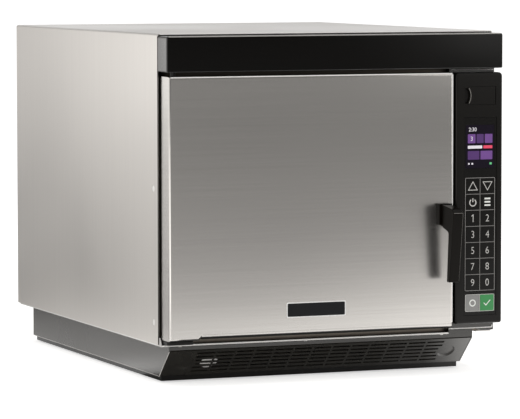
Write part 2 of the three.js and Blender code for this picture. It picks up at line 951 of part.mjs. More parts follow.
// Wire rack on the rails
function makeRack() {
  const z = rackRailZ + seat + rackRod;
  const x0 = cavityLeftX + rackSideGap + rackRod;
  const x1 = cavityRightX - rackSideGap - rackRod;
  const y0 = linerFrontY + rackFrontGap + rackRod;
  const y1 = baffleY - rackRearGap - rackRod;
  const rods = [
    rod([x0, y0 - rackRod, z], [x0, y1 + rackRod, z], rackRod, smallSides),
    rod([x1, y0 - rackRod, z], [x1, y1 + rackRod, z], rackRod, smallSides),
    rod([x0, y0, z], [x1, y0, z], rackRod, smallSides),
    rod([x0, y1, z], [x1, y1, z], rackRod, smallSides),
    rod([x0, (y0 + y1) / 2, z], [x1, (y0 + y1) / 2, z], rackRod, smallSides),
  ];
  for (let index = 1; index <= rackWires; index += 1) {
    const x = x0 + ((x1 - x0) * index) / (rackWires + 1);
    rods.push(rod([x, y0, z], [x, y1, z], rackWire, wireSides));
  }
  return joinAll(rods);
}

// Fan baffle: a slotted plate in front of the convection fan
function makeBaffle() {
  const slots = [];
  for (let row = 0; row < intakeRows; row += 1) {
    const rise = (row - (intakeRows - 1) / 2) * intakePitch;
    const half = Math.sqrt(Math.max(intakeRadius ** 2 - rise ** 2, intakeSlot ** 2));
    const z0 = cavityZ + rise - intakeSlot / 2;
    const z1 = z0 + intakeSlot;
    slots.push([cavityX - half, cavityX - intakeBridge / 2, z0, z1]);
    slots.push([cavityX + intakeBridge / 2, cavityX + half, z0, z1]);
  }
  for (let row = 0; row < outletRows; row += 1) {
    const z0 = cavityZ + (row - (outletRows - 1) / 2) * outletPitch - outletSlotHeight / 2;
    const z1 = z0 + outletSlotHeight;
    const leftStart = cavityLeftX + outletInset;
    const rightStart = cavityRightX - outletInset - outletSlotWidth;
    slots.push([leftStart, leftStart + outletSlotWidth, z0, z1]);
    slots.push([rightStart, rightStart + outletSlotWidth, z0, z1]);
  }
  const z0 = linerFloorZ + seat;
  const z1 = cavityTopZ - seat;
  const y1 = baffleY + sheet + baffleFlange;
  const leftFlange = block(cavityLeftX + seat, cavityLeftX + seat + sheet, baffleY, y1, z0, z1);
  const rightFlange = block(cavityRightX - seat - sheet, cavityRightX - seat, baffleY, y1, z0, z1);
  const plate = block(cavityLeftX + seat, cavityRightX - seat, baffleY, baffleY + sheet, z0, z1);
  return joinAll([punch(plate, slots, baffleY, baffleY + sheet), leftFlange, rightFlange]);
}

// Convection fan: a back disc with straight blades, a front ring, a hub and its shaft
function makeConvectionFan() {
  const rear = chamberRearY - fanRearGap;
  const front = rear - fanDepth;
  const bladeRear = rear - fanSheet / 2;
  const bladeStart = fanHub / 2;
  const bladeEnd = fanRadius - fanSheet;
  const pieces = [
    rod([cavityX, rear - fanSheet, cavityZ], [cavityX, rear, cavityZ], fanRadius, roundSides),
    rod([cavityX, front, cavityZ], [cavityX, rear, cavityZ], fanHub, smallSides),
    rod([cavityX, front, cavityZ], [cavityX, linerRearY + motorLength / 2, cavityZ], shaftRadius),
  ];
  for (let index = 0; index < fanBlades; index += 1) {
    const blade = new THREE.BoxGeometry(bladeEnd - bladeStart, bladeRear - front, fanSheet);
    blade.translate((bladeStart + bladeEnd) / 2, (front + bladeRear) / 2, 0);
    blade.rotateY((index * 2 * Math.PI) / fanBlades);
    blade.translate(cavityX, 0, cavityZ);
    pieces.push(toSolid(blade));
  }
  return joinAll(pieces);
}

// Heater: one round of tube with two tails through the rear wall, and two clips that hold it
function heaterTails() {
  return [cavityX - heaterEnd, cavityX + heaterEnd];
}

function makeHeater() {
  const y = chamberRearY - heaterRearGap;
  const gap = Math.asin(heaterEnd / heaterRadius);
  const [tailLeft, tailRight] = heaterTails();
  const tailZ = cavityZ - heaterRadius;
  const tailY = linerRearY + heaterTailReach;
  const bendY = y + heaterBend;
  const points = [[tailLeft, tailY, tailZ], [tailLeft, bendY, tailZ]];
  for (let index = 0; index <= heaterSteps; index += 1) {
    const angle = -Math.PI / 2 - gap - (2 * (Math.PI - gap) * index) / heaterSteps;
    points.push([cavityX + heaterRadius * Math.cos(angle), y, cavityZ + heaterRadius * Math.sin(angle)]);
  }
  points.push([tailRight, bendY, tailZ], [tailRight, tailY, tailZ]);
  const clips = [-heaterRadius, heaterRadius].map((reach) => {
    const x = cavityX + reach;
    const half = heaterClip / 2;
    return block(x - sheet, x + sheet, y, chamberRearY - seat, cavityZ - half, cavityZ + half);
  });
  return joinAll([tube(points, heaterTube), ...clips]);
}

// A tube swept along a smooth path through points
function tube(points, radius) {
  const path = new THREE.CatmullRomCurve3(points.map((point) => new THREE.Vector3(...point)));
  const section = new THREE.Shape();
  section.absarc(0, 0, radius, 0, 2 * Math.PI, false);
  const options = { steps: tubeSteps, extrudePath: path, curveSegments: tubeSides / 2 };
  return toSolid(new THREE.ExtrudeGeometry(section, options));
}

// Convection motor on the liner's rear wall
function makeConvectionMotor() {
  const y0 = linerRearY + seat;
  const at = (y) => [cavityX, y, cavityZ];
  const flange = rod(at(y0), at(y0 + motorFlangeThick), motorFlange, roundSides);
  const can = rod(at(y0), at(y0 + motorLength), motorRadius, roundSides);
  const bore = rod(at(y0 - overrun), at(y0 + motorLength / 2 + overrun), shaftRadius + seat);
  return flange.add(can).subtract(bore);
}

// Waveguide: twin ducts under the cavity, from the magnetrons to the stirrer
const ductTopZ = linerUnderZ - seat;
const ductY0 = stirrerY - ductWidth / 2;
const ductY1 = stirrerY + ductWidth / 2;
const bayX = (cavityRightX + wrapInnerRight) / 2;
const magnetronYs = [stirrerY - ductWidth / 4, stirrerY + ductWidth / 4];

function makeWaveguide() {
  const x0 = cavityX - ductOverhang;
  const x1 = wrapInnerRight - ductEndGap;
  const outer = block(x0, x1, ductY0, ductY1, standZ, ductTopZ);
  const inner = block(
    x0 + sheet,
    x1 - sheet,
    ductY0 + sheet,
    ductY1 - sheet,
    standZ + sheet,
    ductTopZ - sheet
  );
  const divider = block(
    cavityX + ductOverhang,
    x1 - sheet / 2,
    stirrerY - sheet / 2,
    stirrerY + sheet / 2,
    standZ + sheet / 2,
    ductTopZ - sheet / 2
  );
  const feed = rod(
    [cavityX, stirrerY, ductTopZ - overrun],
    [cavityX, stirrerY, ductTopZ + overrun],
    stirrerOpening,
    roundSides
  );
  const shaftHole = rod(
    [cavityX, stirrerY, standZ - overrun],
    [cavityX, stirrerY, standZ + overrun],
    shaftRadius + running
  );
  const topHole = (y) => rod([bayX, y, ductTopZ - overrun], [bayX, y, ductTopZ + overrun], antennaHole);
  const cuts = magnetronYs.map(topHole);
  return cutAll(outer.subtract(inner).add(divider), [feed, shaftHole, ...cuts]);
}

// Stirrer: four tilted blades under the ceramic floor, on the shaft of a flat motor
function makeStirrer() {
  const z = standZ + stirrerLift;
  const motorMiddleZ = baseTopZ + sheet - stirrerMotorHeight / 2;
  const pieces = [
    rod([cavityX, stirrerY, motorMiddleZ], [cavityX, stirrerY, z + stirrerHubHeight], shaftRadius),
    rod([cavityX, stirrerY, z], [cavityX, stirrerY, z + stirrerHubHeight], stirrerHub),
  ];
  const bladeCount = 4;
  for (let index = 0; index < bladeCount; index += 1) {
    const blade = new THREE.BoxGeometry(stirrerRadius, bladeWidth, fanSheet);
    blade.translate(stirrerRadius / 2, 0, 0);
    blade.rotateX(THREE.MathUtils.degToRad(bladeTilt));
    blade.rotateZ((index * 2 * Math.PI) / bladeCount);
    blade.translate(cavityX, stirrerY, z + stirrerHubHeight / 2);
    pieces.push(toSolid(blade));
  }
  return joinAll(pieces);
}

function makeStirrerMotor() {
  const top = floorUnderZ - seat;
  const bottom = top - stirrerMotorHeight;
  const at = (z) => [cavityX, stirrerY, z];
  const can = rod(at(bottom), at(top), stirrerMotorRadius, roundSides);
  const bore = rod(at(bottom + overrun), at(top + overrun), shaftRadius + seat);
  return can.subtract(bore);
}

// Magnetron: a finned core in a steel yoke, with its antenna down in the waveguide
function makeMagnetron() {
  const halfX = magnetronWidth / 2;
  const halfY = magnetronDepth / 2;
  const pieces = [
    block(-halfX, halfX, -halfY, halfY, 0, fanSheet),
    block(-halfX, halfX, -halfY, halfY, magnetronHeight - fanSheet, magnetronHeight),
    block(-halfX, -halfX + fanSheet, -halfY, halfY, 0, magnetronHeight),
    block(halfX - fanSheet, halfX, -halfY, halfY, 0, magnetronHeight),
    rod([0, 0, 0], [0, 0, magnetronHeight], magnetronCore, smallSides),
    rod([0, 0, -antennaLength], [0, 0, 0], antennaRadius, smallSides),
  ];
  const inside = halfX - fanSheet / 2;
  for (let index = 1; index <= magnetronFinCount; index += 1) {
    const z = (magnetronHeight * index) / (magnetronFinCount + 1);
    pieces.push(block(-inside, inside, -halfY, halfY, z, z + finThick));
  }
  return joinAll(pieces);
}

// Transformer: a laminated core round a wound coil, on a flanged foot
function makeTransformer() {
  const core = block(-coreWidth / 2, coreWidth / 2, -coreDepth / 2, coreDepth / 2, 0, coreHeight);
  const coilBottom = (coreHeight - coilHeight) / 2;
  const halfCoil = coilWidth / 2;
  const coilShape = rectangle(-halfCoil, halfCoil, coilBottom, coilBottom + coilHeight, coilCorner);
  const coil = plateY(coilShape, -coilDepth / 2, coilDepth / 2);
  const reach = coreDepth / 2 + coreFoot;
  const foot = block(-coreWidth / 2, coreWidth / 2, -reach, reach, 0, coreFootThick);
  return joinAll([core, coil, foot]);
}

// Capacitor: an oval can with two terminals
function makeCapacitor() {
  const radius = canDepth / 2 - sheet;
  const shape = rectangle(-canWidth / 2, canWidth / 2, -canDepth / 2, canDepth / 2, radius);
  const can = plateZ(shape, 0, canHeight);
  const z0 = canHeight - sheet;
  const z1 = canHeight + terminalHeight;
  const terminal = (x) => rod([x, 0, z0], [x, 0, z1], terminalRadius, wireSides);
  return joinAll([can, terminal(-canWidth / 4), terminal(canWidth / 4)]);
}

// Cooling blower: a scroll that grows round the wheel, with a round inlet and a top outlet
const blowerCentreX = leftX + blowerX;
const blowerCentreY = rearPanelY - rearBay * blowerSetbackShare;
const blowerCentreZ = standZ + scrollStart + scrollGrowth;

function scrollOutline(offset) {
  const shape = new THREE.Shape();
  const steps = roundSides;
  for (let index = 0; index <= steps; index += 1) {
    const share = index / steps;
    const angle = share * 2 * Math.PI;
    const radius = scrollStart + scrollGrowth * share - offset;
    const y = blowerCentreY + radius * Math.cos(angle);
    const z = blowerCentreZ - radius * Math.sin(angle);
    if (index === 0) {
      shape.moveTo(y, z);
    } else {
      shape.lineTo(y, z);
    }
  }
  shape.closePath();
  return shape;
}

function makeBlower() {
  const x0 = blowerCentreX - scrollWidth / 2;
  const x1 = blowerCentreX + scrollWidth / 2;
  const spoutY0 = blowerCentreY + scrollStart + scrollGrowth - outletDepth;
  const spoutY1 = blowerCentreY + scrollStart + scrollGrowth;
  const spoutTop = blowerCentreZ + scrollStart + outletHeight;
  const spout = block(x0, x1, spoutY0, spoutY1, blowerCentreZ, spoutTop);
  const spoutHollow = block(
    x0 + scrollWall,
    x1 - scrollWall,
    spoutY0 + scrollWall,
    spoutY1 - scrollWall,
    blowerCentreZ,
    spoutTop + overrun
  );
  const footZ = standZ + blowerFootThick;
  const webTop = blowerCentreZ - blowerWheelRadius - scrollWall;
  const foot = block(x0, x1, blowerCentreY - scrollStart, blowerCentreY + scrollStart, standZ, footZ);
  const web = block(x0, x1, blowerCentreY - fanHub, blowerCentreY + fanHub, standZ, webTop);
  const hollow = plateX(scrollOutline(scrollWall), x0 + scrollWall, x1 - scrollWall);
  const inlet = rod(
    [x0 - overrun, blowerCentreY, blowerCentreZ],
    [x0 + overrun, blowerCentreY, blowerCentreZ],
    scrollInlet,
    roundSides
  );
  const motor = rod(
    [x1 - scrollWall, blowerCentreY, blowerCentreZ],
    [x1 + blowerMotorLength, blowerCentreY, blowerCentreZ],
    blowerMotorRadius,
    roundSides
  );
  const bore = rod(
    [x1 - scrollWall - overrun, blowerCentreY, blowerCentreZ],
    [x1 + blowerMotorLength - overrun, blowerCentreY, blowerCentreZ],
    shaftRadius + seat
  );
  const shell = joinAll([plateX(scrollOutline(0), x0, x1), spout, foot, web]);
  return cutAll(cutAll(shell, [hollow, spoutHollow, inlet]).add(motor), [bore]);
}

// Blower wheel: a ring of blades on a disc, between two rims
function makeBlowerWheel() {
  const half = blowerWheelWidth / 2;
  const x0 = blowerCentreX - half;
  const x1 = blowerCentreX + half;
  const at = (x) => [x, blowerCentreY, blowerCentreZ];
  const rim = rod(at(x0), at(x0 + fanSheet), blowerWheelRadius, roundSides);
  const eye = rod(at(x0 - overrun), at(x0 + overrun), blowerWheelRadius - blowerBladeDepth, roundSides);
  const motorEnd = blowerCentreX + scrollWidth / 2 + blowerMotorLength / 2;
  const pieces = [
    rim.subtract(eye),
    rod(at(x1 - fanSheet), at(x1), blowerWheelRadius, roundSides),
    rod(at(x0 + half), at(x1), blowerHubRadius, smallSides),
    rod(at(x0 + half), at(motorEnd), shaftRadius),
  ];
  for (let index = 0; index < blowerBlades; index += 1) {
    const blade = new THREE.BoxGeometry(blowerWheelWidth, blowerBladeDepth - fanSheet, fanSheet);
    blade.translate(blowerCentreX, blowerWheelRadius - blowerBladeDepth / 2, 0);
    blade.rotateX((index * 2 * Math.PI) / blowerBlades);
    blade.translate(0, blowerCentreY, blowerCentreZ);
    pieces.push(toSolid(blade));
  }
  return joinAll(pieces);
}

// Rear panel: louvres at the top for hot air, and a shorter bank low on the blower's side
function louvre(x, z) {
  const half = louvreLength / 2;
  const outerY = rearPanelY + sheet;
  const slotTop = z + louvreSlot;
  const slot = block(x - half, x + half, rearPanelY - overrun, outerY + overrun, z, slotTop);
  const topZ = z + louvreSlot + louvreBlade;
  const blade = outline([
    [outerY - sheet / 2, topZ],
    [outerY - sheet / 2, topZ - louvreBlade],
    [outerY + louvreReach, z - louvreBlade],
    [outerY + louvreReach, z],
  ]);
  return { slot, blade: plateX(blade, x - half, x + half) };
}

function louvrePlaces() {
  const places = [];
  for (let row = 0; row < louvreRows; row += 1) {
    for (let column = 0; column < louvreColumns; column += 1) {
      const x = (column - (louvreColumns - 1) / 2) * louvrePitchX;
      places.push([x, bodyHeight - louvreTopInset - row * louvrePitch]);
    }
  }
  for (let row = 0; row < intakeVentRows; row += 1) {
    places.push([rightX - intakeVentInset, standZ + intakeVentInset + row * louvrePitch]);
  }
  return places;
}

function glandPlace() {
  return [leftX + glandInset, standZ + glandHeight];
}

function makeRearPanel() {
  const plate = plateY(
    rectangle(wrapInnerLeft, wrapInnerRight, standZ, wrapInnerTop, wrapBend),
    rearPanelY,
    rearPanelY + sheet
  );
  const flangeShape = ringShape(
    rectangle(wrapInnerLeft, wrapInnerRight, standZ, wrapInnerTop, wrapBend),
    rectangle(
      wrapInnerLeft + sheet,
      wrapInnerRight - sheet,
      standZ + sheet,
      wrapInnerTop - sheet,
      wrapBend - sheet
    )
  );
  const flange = plateY(flangeShape, rearPanelY - baffleFlange, rearPanelY + sheet);
  const louvres = louvrePlaces().map(([x, z]) => louvre(x, z));
  const [glandX, glandZ] = glandPlace();
  const glandHole = rod(
    [glandX, rearPanelY - overrun, glandZ],
    [glandX, rearPanelY + sheet + overrun, glandZ],
    glandNeck + seat,
    smallSides
  );
  const vented = cutAll(plate.add(flange), [glandHole, ...louvres.map(({ slot }) => slot)]);
  return joinAll([vented, ...louvres.map(({ blade }) => blade)]);
}

// Cord gland: a bored bush through the rear panel, with a flange on each side
function makeCordGland() {
  const neckY0 = -seat - glandFlange;
  const neckY1 = sheet + seat;
  const profile = [
    [glandBore, neckY0],
    [glandRadius, neckY0],
    [glandRadius, -seat],
    [glandNeck, -seat],
    [glandNeck, neckY1],
    [glandRadius, neckY1],
    [glandRadius - footTaper, neckY1 + glandFlange],
    [glandBore, neckY1 + glandFlange],
    [glandBore, neckY0],
  ];
  const points = profile.map(([x, y]) => new THREE.Vector2(x, y));
  return toSolid(new THREE.LatheGeometry(points, smallSides));
}

// Top trim: a hollow black hood over the door and the control panel
function makeTopTrim() {
  const left = leftX + trimInset;
  const right = rightX - trimInset;
  const rear = frontY - seat;
  const face = outline([
    [left, trimBottomZ, trimLowCorner],
    [right, trimBottomZ, trimLowCorner],
    [right, trimTopZ, trimTopCorner],
    [left, trimTopZ, trimTopCorner],
  ]);
  const shell = softPlateY(face, faceY, rear, trimEdge);
  const hollow = plateY(
    rectangle(left + trimWall, right - trimWall, trimBottomZ + trimWall, trimTopZ - trimWall),
    faceY + trimWall,
    rear + overrun
  );
  const pinHole = rod(
    [pinX, pinY, trimBottomZ - overrun],
    [pinX, pinY, trimBottomZ + trimWall + overrun],
    pinRadius + running
  );
  return cutAll(shell, [hollow, pinHole]);
}

// Door outline in X and Z, drawn in by an inset, with the hinge tab at its lower left
function doorOutline(inset) {
  const left = doorLeftX + inset;
  const right = doorRightX - inset;
  const bottom = doorBottomZ + inset;
  const top = doorTopZ - inset;
  return outline([
    [left, bottom - doorTabDrop],
    [doorLeftX + doorTabWidth - inset, bottom - doorTabDrop],
    [doorLeftX + doorTabWidth + doorTabRamp - inset, bottom],
    [right, bottom],
    [right, top],
    [left, top],
  ]);
}

// The rear edge on the hinge side is cut back so that it clears the frame as the door swings
function hingeEdgeCut() {
  const x = doorLeftX;
  const y = doorRearY;
  const shape = outline([
    [x - overrun, y - doorRearChamfer - overrun],
    [x + doorRearChamfer + overrun, y + overrun],
    [x - overrun, y + overrun],
  ]);
  return plateZ(shape, doorBottomZ - doorTabDrop - overrun, doorTopZ + overrun);
}

function makeDoorSkin() {
  const outer = softPlateY(doorOutline(0), faceY, doorRearY, doorEdge);
  const pocket = plateY(doorOutline(sheet), faceY + sheet, doorRearY + overrun);
  const pinHole = rod(
    [pinX, pinY, doorBottomZ - doorTabDrop - overrun],
    [pinX, pinY, doorTopZ + overrun],
    pinRadius + seat,
    smallSides
  );
  return cutAll(outer, [pocket, hingeEdgeCut(), pinHole]);
}

// Door choke: the rear plate of the door, with a slotted wall that keeps microwaves in
function chokeWall(x0, x1, z0, z1) {
  const plateFrontY = doorRearY - sheet;
  const wallY0 = plateFrontY - chokeDepth;
  const ring = ringShape(
    rectangle(x0, x1, z0, z1),
    rectangle(x0 + sheet, x1 - sheet, z0 + sheet, z1 - sheet)
  );
  const cuts = [];
  const slotY1 = wallY0 + chokeSlotDepth;
  const across = Math.floor((x1 - x0 - chokePitch) / chokePitch);
  const up = Math.floor((z1 - z0 - chokePitch) / chokePitch);
  const half = chokeSlot / 2;
  for (let index = 0; index <= across; index += 1) {
    const x = (x0 + x1) / 2 + (index - across / 2) * chokePitch;
    cuts.push(block(x - half, x + half, wallY0 - overrun, slotY1, z0 - overrun, z1 + overrun));
  }
  for (let index = 0; index <= up; index += 1) {
    const z = (z0 + z1) / 2 + (index - up / 2) * chokePitch;
    cuts.push(block(x0 - overrun, x1 + overrun, wallY0 - overrun, slotY1, z - half, z + half));
  }
  return cutAll(plateY(ring, wallY0, plateFrontY + sheet / 2), cuts);
}

function makeDoorChoke() {
  const plate = doorOutline(sheet + seat);
  const windowX = cavityWidth / 2 - chokeMargin;
  const windowZ = cavityHeight / 2 - chokeMargin;
  plate.holes.push(rectangle(cavityX - windowX, cavityX + windowX, cavityZ - windowZ, cavityZ + windowZ));
  for (const z of hookHeights()) {
    plate.holes.push(rectangle(...hookSlot(z)));
  }
  const wallX = cavityWidth / 2 + chokeMargin;
  const wallZ = cavityHeight / 2 + chokeMargin;
  const wall = chokeWall(cavityX - wallX, cavityX + wallX, cavityZ - wallZ, cavityZ + wallZ);
  return plateY(plate, doorRearY - sheet, doorRearY).add(wall).subtract(hingeEdgeCut());
}

// Inner door panel: a shallow pressed pan that stands a little way into the cavity mouth
function makeDoorInnerPanel() {
  const y0 = doorRearY + seat;
  const y1 = y0 + plugDepth;
  const halfX = cavityWidth / 2 - plugGap;
  const halfZ = cavityHeight / 2 - plugGap;
  const pan = (inset) =>
    rectangle(
      cavityX - halfX + inset,
      cavityX + halfX - inset,
      cavityZ - halfZ + inset,
      cavityZ + halfZ - inset,
      cavityCorner
    );
  const flipped = softPlateY(pan(0), -y1, -y0, plugEdge);
  const plug = flipped.scale([1, -1, 1]);
  const hollow = plateY(pan(sheet + plugEdge), y0 - overrun, y1 - sheet);
  const flange = plateY(pan(-plugFlange), y0, y0 + sheet);
  return plug.add(flange).subtract(hollow);
}

// Door seal: a soft ring between the door and the frame
function makeDoorSeal() {
  const y0 = doorRearY + seat;
  const y1 = frameFrontY - seat;
  const halfX = cavityWidth / 2 + sealMargin;
  const halfZ = cavityHeight / 2 + sealMargin;
  const ring = (reach, corner) =>
    rectangle(
      cavityX - halfX - reach,
      cavityX + halfX + reach,
      cavityZ - halfZ - reach,
      cavityZ + halfZ + reach,
      corner
    );
  const body = ringShape(ring(sealWidth, sealCorner), ring(0, sealCorner - sealWidth));
  const lip = ringShape(
    ring(sealWidth - sealEdge, sealCorner - sealEdge),
    ring(sealEdge, sealCorner - sealWidth + sealEdge)
  );
  return plateY(body, y0, y1 - sealEdge).add(plateY(lip, y0, y1));
}

// Hinges: a bent bracket under the trim and a thick bar under the door tab, each with its pin
function makeUpperHinge() {
  const left = leftX + trimInset + trimWall + seat;
  const right = left + hingeWidth;
  const tabZ = trimBottomZ + trimWall + seat;
  const rear = frameFrontY - seat;
  const leg = block(left, right, rear - hingeTab, rear, tabZ, tabZ + hingeLeg);
  const tab = outline([
    [left, rear],
    [left, pinY - hingeNose, hingeNose / 2],
    [right, pinY - hingeNose, hingeNose / 2],
    [right, rear],
  ]);
  const pin = rod([pinX, pinY, doorTopZ - pinLength], [pinX, pinY, tabZ + hingeTab / 2], pinRadius);
  return joinAll([leg, plateZ(tab, tabZ, tabZ + hingeTab), pin]);
}

function makeLowerHinge() {
  const left = doorLeftX;
  const right = left + hingeWidth + hingeTab;
  const rear = frameFrontY - seat;
  const z0 = floorTopZ + seat;
  const z1 = z0 + lowerHingeHeight;
  const bar = outline([
    [left, rear],
    [left, pinY - hingeNose, hingeNose / 2],
    [right, pinY - hingeNose, hingeNose / 2],
    [right, rear],
  ]);
  const tabUnder = doorBottomZ - doorTabDrop;
  const shoulder = rod([pinX, pinY, z1 - sheet], [pinX, pinY, tabUnder - seat], pinShoulder);
  const pin = rod([pinX, pinY, z1 - sheet], [pinX, pinY, tabUnder + pinLength], pinRadius);
  const clearZ = floorTopZ + lowerHingeLift;
  const lipRoom = block(left - overrun, right + overrun, faceY, frontY - lipReach, z0 - overrun, clearZ);
  return joinAll([plateZ(bar, z0, z1).subtract(lipRoom), shoulder, pin]);
}

// Latch: a sprung bar in the door with two hooks that reach through the frame
const latchX = doorRightX - latchRightInset;

function hookHeights() {
  const reach = latchBarHeight / 2 - hookInset;
  return [cavityZ - reach, cavityZ + reach];
}

function hookSlot(z) {
  const half = hookThick / 2 + latchClear;
  const low = z - hookHeight / 2 - hookBarb - latchClear;
  const high = z + hookHeight / 2 + latchTravel + latchClear;
  return [latchX - half, latchX + half + swingClear, low, high];
}

function makeLatch() {
  const barRear = doorRearY - sheet - seat;
  const half = latchBarWidth / 2;
  const bar = block(
    latchX - half,
    latchX + half,
    barRear - latchBarDepth,
    barRear,
    cavityZ - latchBarHeight / 2,
    cavityZ + latchBarHeight / 2
  );
  const tip = barRear + hookReach;
  const hooks = hookHeights().map((z) => {
    const low = z - hookHeight / 2;
    const high = z + hookHeight / 2;
    const shape = outline([
      [barRear - sheet, low],
      [tip - hookNose, low],
      [tip - hookNose, low - hookBarb],
      [tip, low + hookBarb],
      [tip, high - hookBarb],
      [tip - hookBarb, high],
      [barRear - sheet, high],
    ]);
    return plateX(shape, latchX - hookThick / 2, latchX + hookThick / 2);
  });
  return joinAll([bar, ...hooks]);
}

// Interlock housing: the box behind the frame that the hooks enter
function makeInterlock() {
  const x0 = latchX - hookThick / 2 - latchClear - interlockWall;
  const x1 = x0 + interlockWidth;
  const y0 = linerFrontY;
  const y1 = y0 + interlockDepth;
  const z0 = cavityZ - interlockHeight / 2;
  const z1 = cavityZ + interlockHeight / 2;
  const hollow = block(
    x0 + interlockWall,
    x1 - interlockWall,
    y0 + interlockWall,
    y1 - interlockWall,
    z0 + interlockWall,
    z1 - interlockWall
  );
  const slots = hookHeights().map((z) => plateY(rectangle(...hookSlot(z)), y0 - overrun, y0 + overrun));
  return cutAll(block(x0, x1, y0, y1, z0, z1), [hollow, ...slots]);
}

// Handle: a fixed pull, an arm from the door face that turns down into a free grip
function makeHandle() {
  const x1 = doorRightX - handleRight;
  const x0 = x1 - handleWidth;
  const front = faceY - handleReach;
  const armUnder = handleTopZ - handleBlockHeight;
  const gripTopZ = armUnder - handleArmDrop;
  const rear = faceY - seat;
  const gripRear = faceY - handleGap;
  const profile = outline([
    [rear, handleTopZ],
    [front + handleFrontSlope, handleTopZ - handleFrontSlope, handleCornerRadius],
    [front, handleTopZ - handleNoseDrop, handleCornerRadius],
    [faceY - handleGap + handleLean - handleTipDepth, handleBottomZ, handleTipRadius],
    [faceY - handleGap + handleLean, handleBottomZ, handleTipRadius],
    [gripRear, gripTopZ, handleCornerRadius],
    [rear, armUnder],
  ]);
  const grip = softPlateX(profile, x0, x1, handleSoft);
  const blockX1 = x1 + handleBlockRight;
  const base = block(
    blockX1 - handleBlockWidth,
    blockX1,
    rear - handleBlockThick,
    rear,
    armUnder,
    handleTopZ
  );
  return grip.add(base);
}

// A plate in Y and Z from x0 to x1, with both of its long edges rounded
function softPlateX(shape, x0, x1, edge) {
  const options = {
    depth: x1 - x0 - 2 * edge,
    bevelEnabled: true,
    bevelThickness: edge,
    bevelSize: edge,
    bevelOffset: -edge,
    bevelSegments: edgeSteps,
    curveSegments: cornerSteps,
  };
  const geometry = new THREE.ExtrudeGeometry(shape, options);
  const turn = new THREE.Matrix4().makeBasis(
    new THREE.Vector3(0, 1, 0),
    new THREE.Vector3(0, 0, 1),
    new THREE.Vector3(1, 0, 0)
  );
  geometry.applyMatrix4(turn);
  geometry.translate(x0 + edge, 0, 0);
  return toSolid(geometry);
}

// Panel bracket: the dark sheet box that carries the control panel in front of the frame
function makePanelBracket() {
  const x0 = panelLeftX + bracketLeftInset;
  const x1 = rightX - bracketRightInset;
  const y0 = frontY - bracketReach;
  const y1 = frameFrontY - seat;
  const z1 = trimBottomZ - seat;
  const outer = block(x0, x1, y0, y1, bracketBottomZ, z1);
  const hollow = block(x0 + sheet, x1 - sheet, y0 + sheet, y1 + overrun, bracketBottomZ + sheet, z1 - sheet);
  const opening = block(
    x0 + bracketWindow,
    x1 - bracketWindow,
    y0 - overrun,
    y0 + overrun,
    overlayBottomZ,
    overlayTopZ
  );
  const footLeft = x1 - bracketFootWidth;
  const foot = outline([
    [footLeft, bracketBottomZ + sheet / 2],
    [footLeft + bracketFootRamp, bracketBottomZ - bracketFootDrop],
    [x1, bracketBottomZ - bracketFootDrop],
    [x1, bracketBottomZ + sheet / 2],
  ]);
  return cutAll(outer, [hollow, opening]).add(plateY(foot, y0, y0 + bracketReach - sheet));
}

// Control panel housing
const hatchX1 = panelRightX - panelWidth * hatchRightShare;
const hatchX0 = hatchX1 - hatchWidth;
const hatchZ1 = doorTopZ - hatchTop;
const hatchZ0 = hatchZ1 - hatchHeight;
const hatchAxisX = hatchX1 - hatchKnuckle - seat;
const hatchAxisY = faceY + hatchDeep + hatchThick / 2;
const recessY = faceY + overlayDeep + overlayThick + seat;
const keyGridZ = overlayBottomZ + overlayHeight * keyBottomShare;
const keyFloorY = faceY + overlayDeep - keyProud + keyDeep + keyTravel + seat;

function keyPlaces() {
  const places = [];
  const gridX = overlayLeftX + overlayWidth * keyLeftShare;
  const gridZ = keyGridZ;
  const names = [
    ['9', '0'],
    ['7', '8'],
    ['5', '6'],
    ['3', '4'],
    ['1', '2'],
    ['power', 'menu'],
    ['up', 'down'],
  ];
  for (let row = 0; row < keyRows; row += 1) {
    for (let column = 0; column < names[row].length; column += 1) {
      places.push({
        name: `key_${names[row][column]}`,
        material: keyFilm,
        x0: gridX + column * keyColumnPitch,
        z0: gridZ + row * keyRowPitch,
        width: keyColumnPitch,
        height: keyRowPitch,
      });
    }
  }
  const pads = [['stop', greyKey], ['start', greenKey]];
  const z0 = padBottomZ;
  pads.forEach(([name, material], column) => {
    const x0 = overlayLeftX + overlayWidth * padLeftShare + column * padWidth;
    places.push({ name: `key_${name}`, material, x0, z0, width: padWidth, height: padHeight });
  });
  return places;
}

function keyWindow({ x0, z0, width, height }, inset) {
  return [x0 + inset, x0 + width - inset, z0 + inset, z0 + height - inset];
}

function displayWindow(inset) {
  const x0 = overlayLeftX + overlayWidth * displayLeftShare;
  const z1 = overlayTopZ - overlayHeight * displayTopShare;
  return [x0 + inset, x0 + displayWidth - inset, z1 - displayHeight + inset, z1 - inset];
}

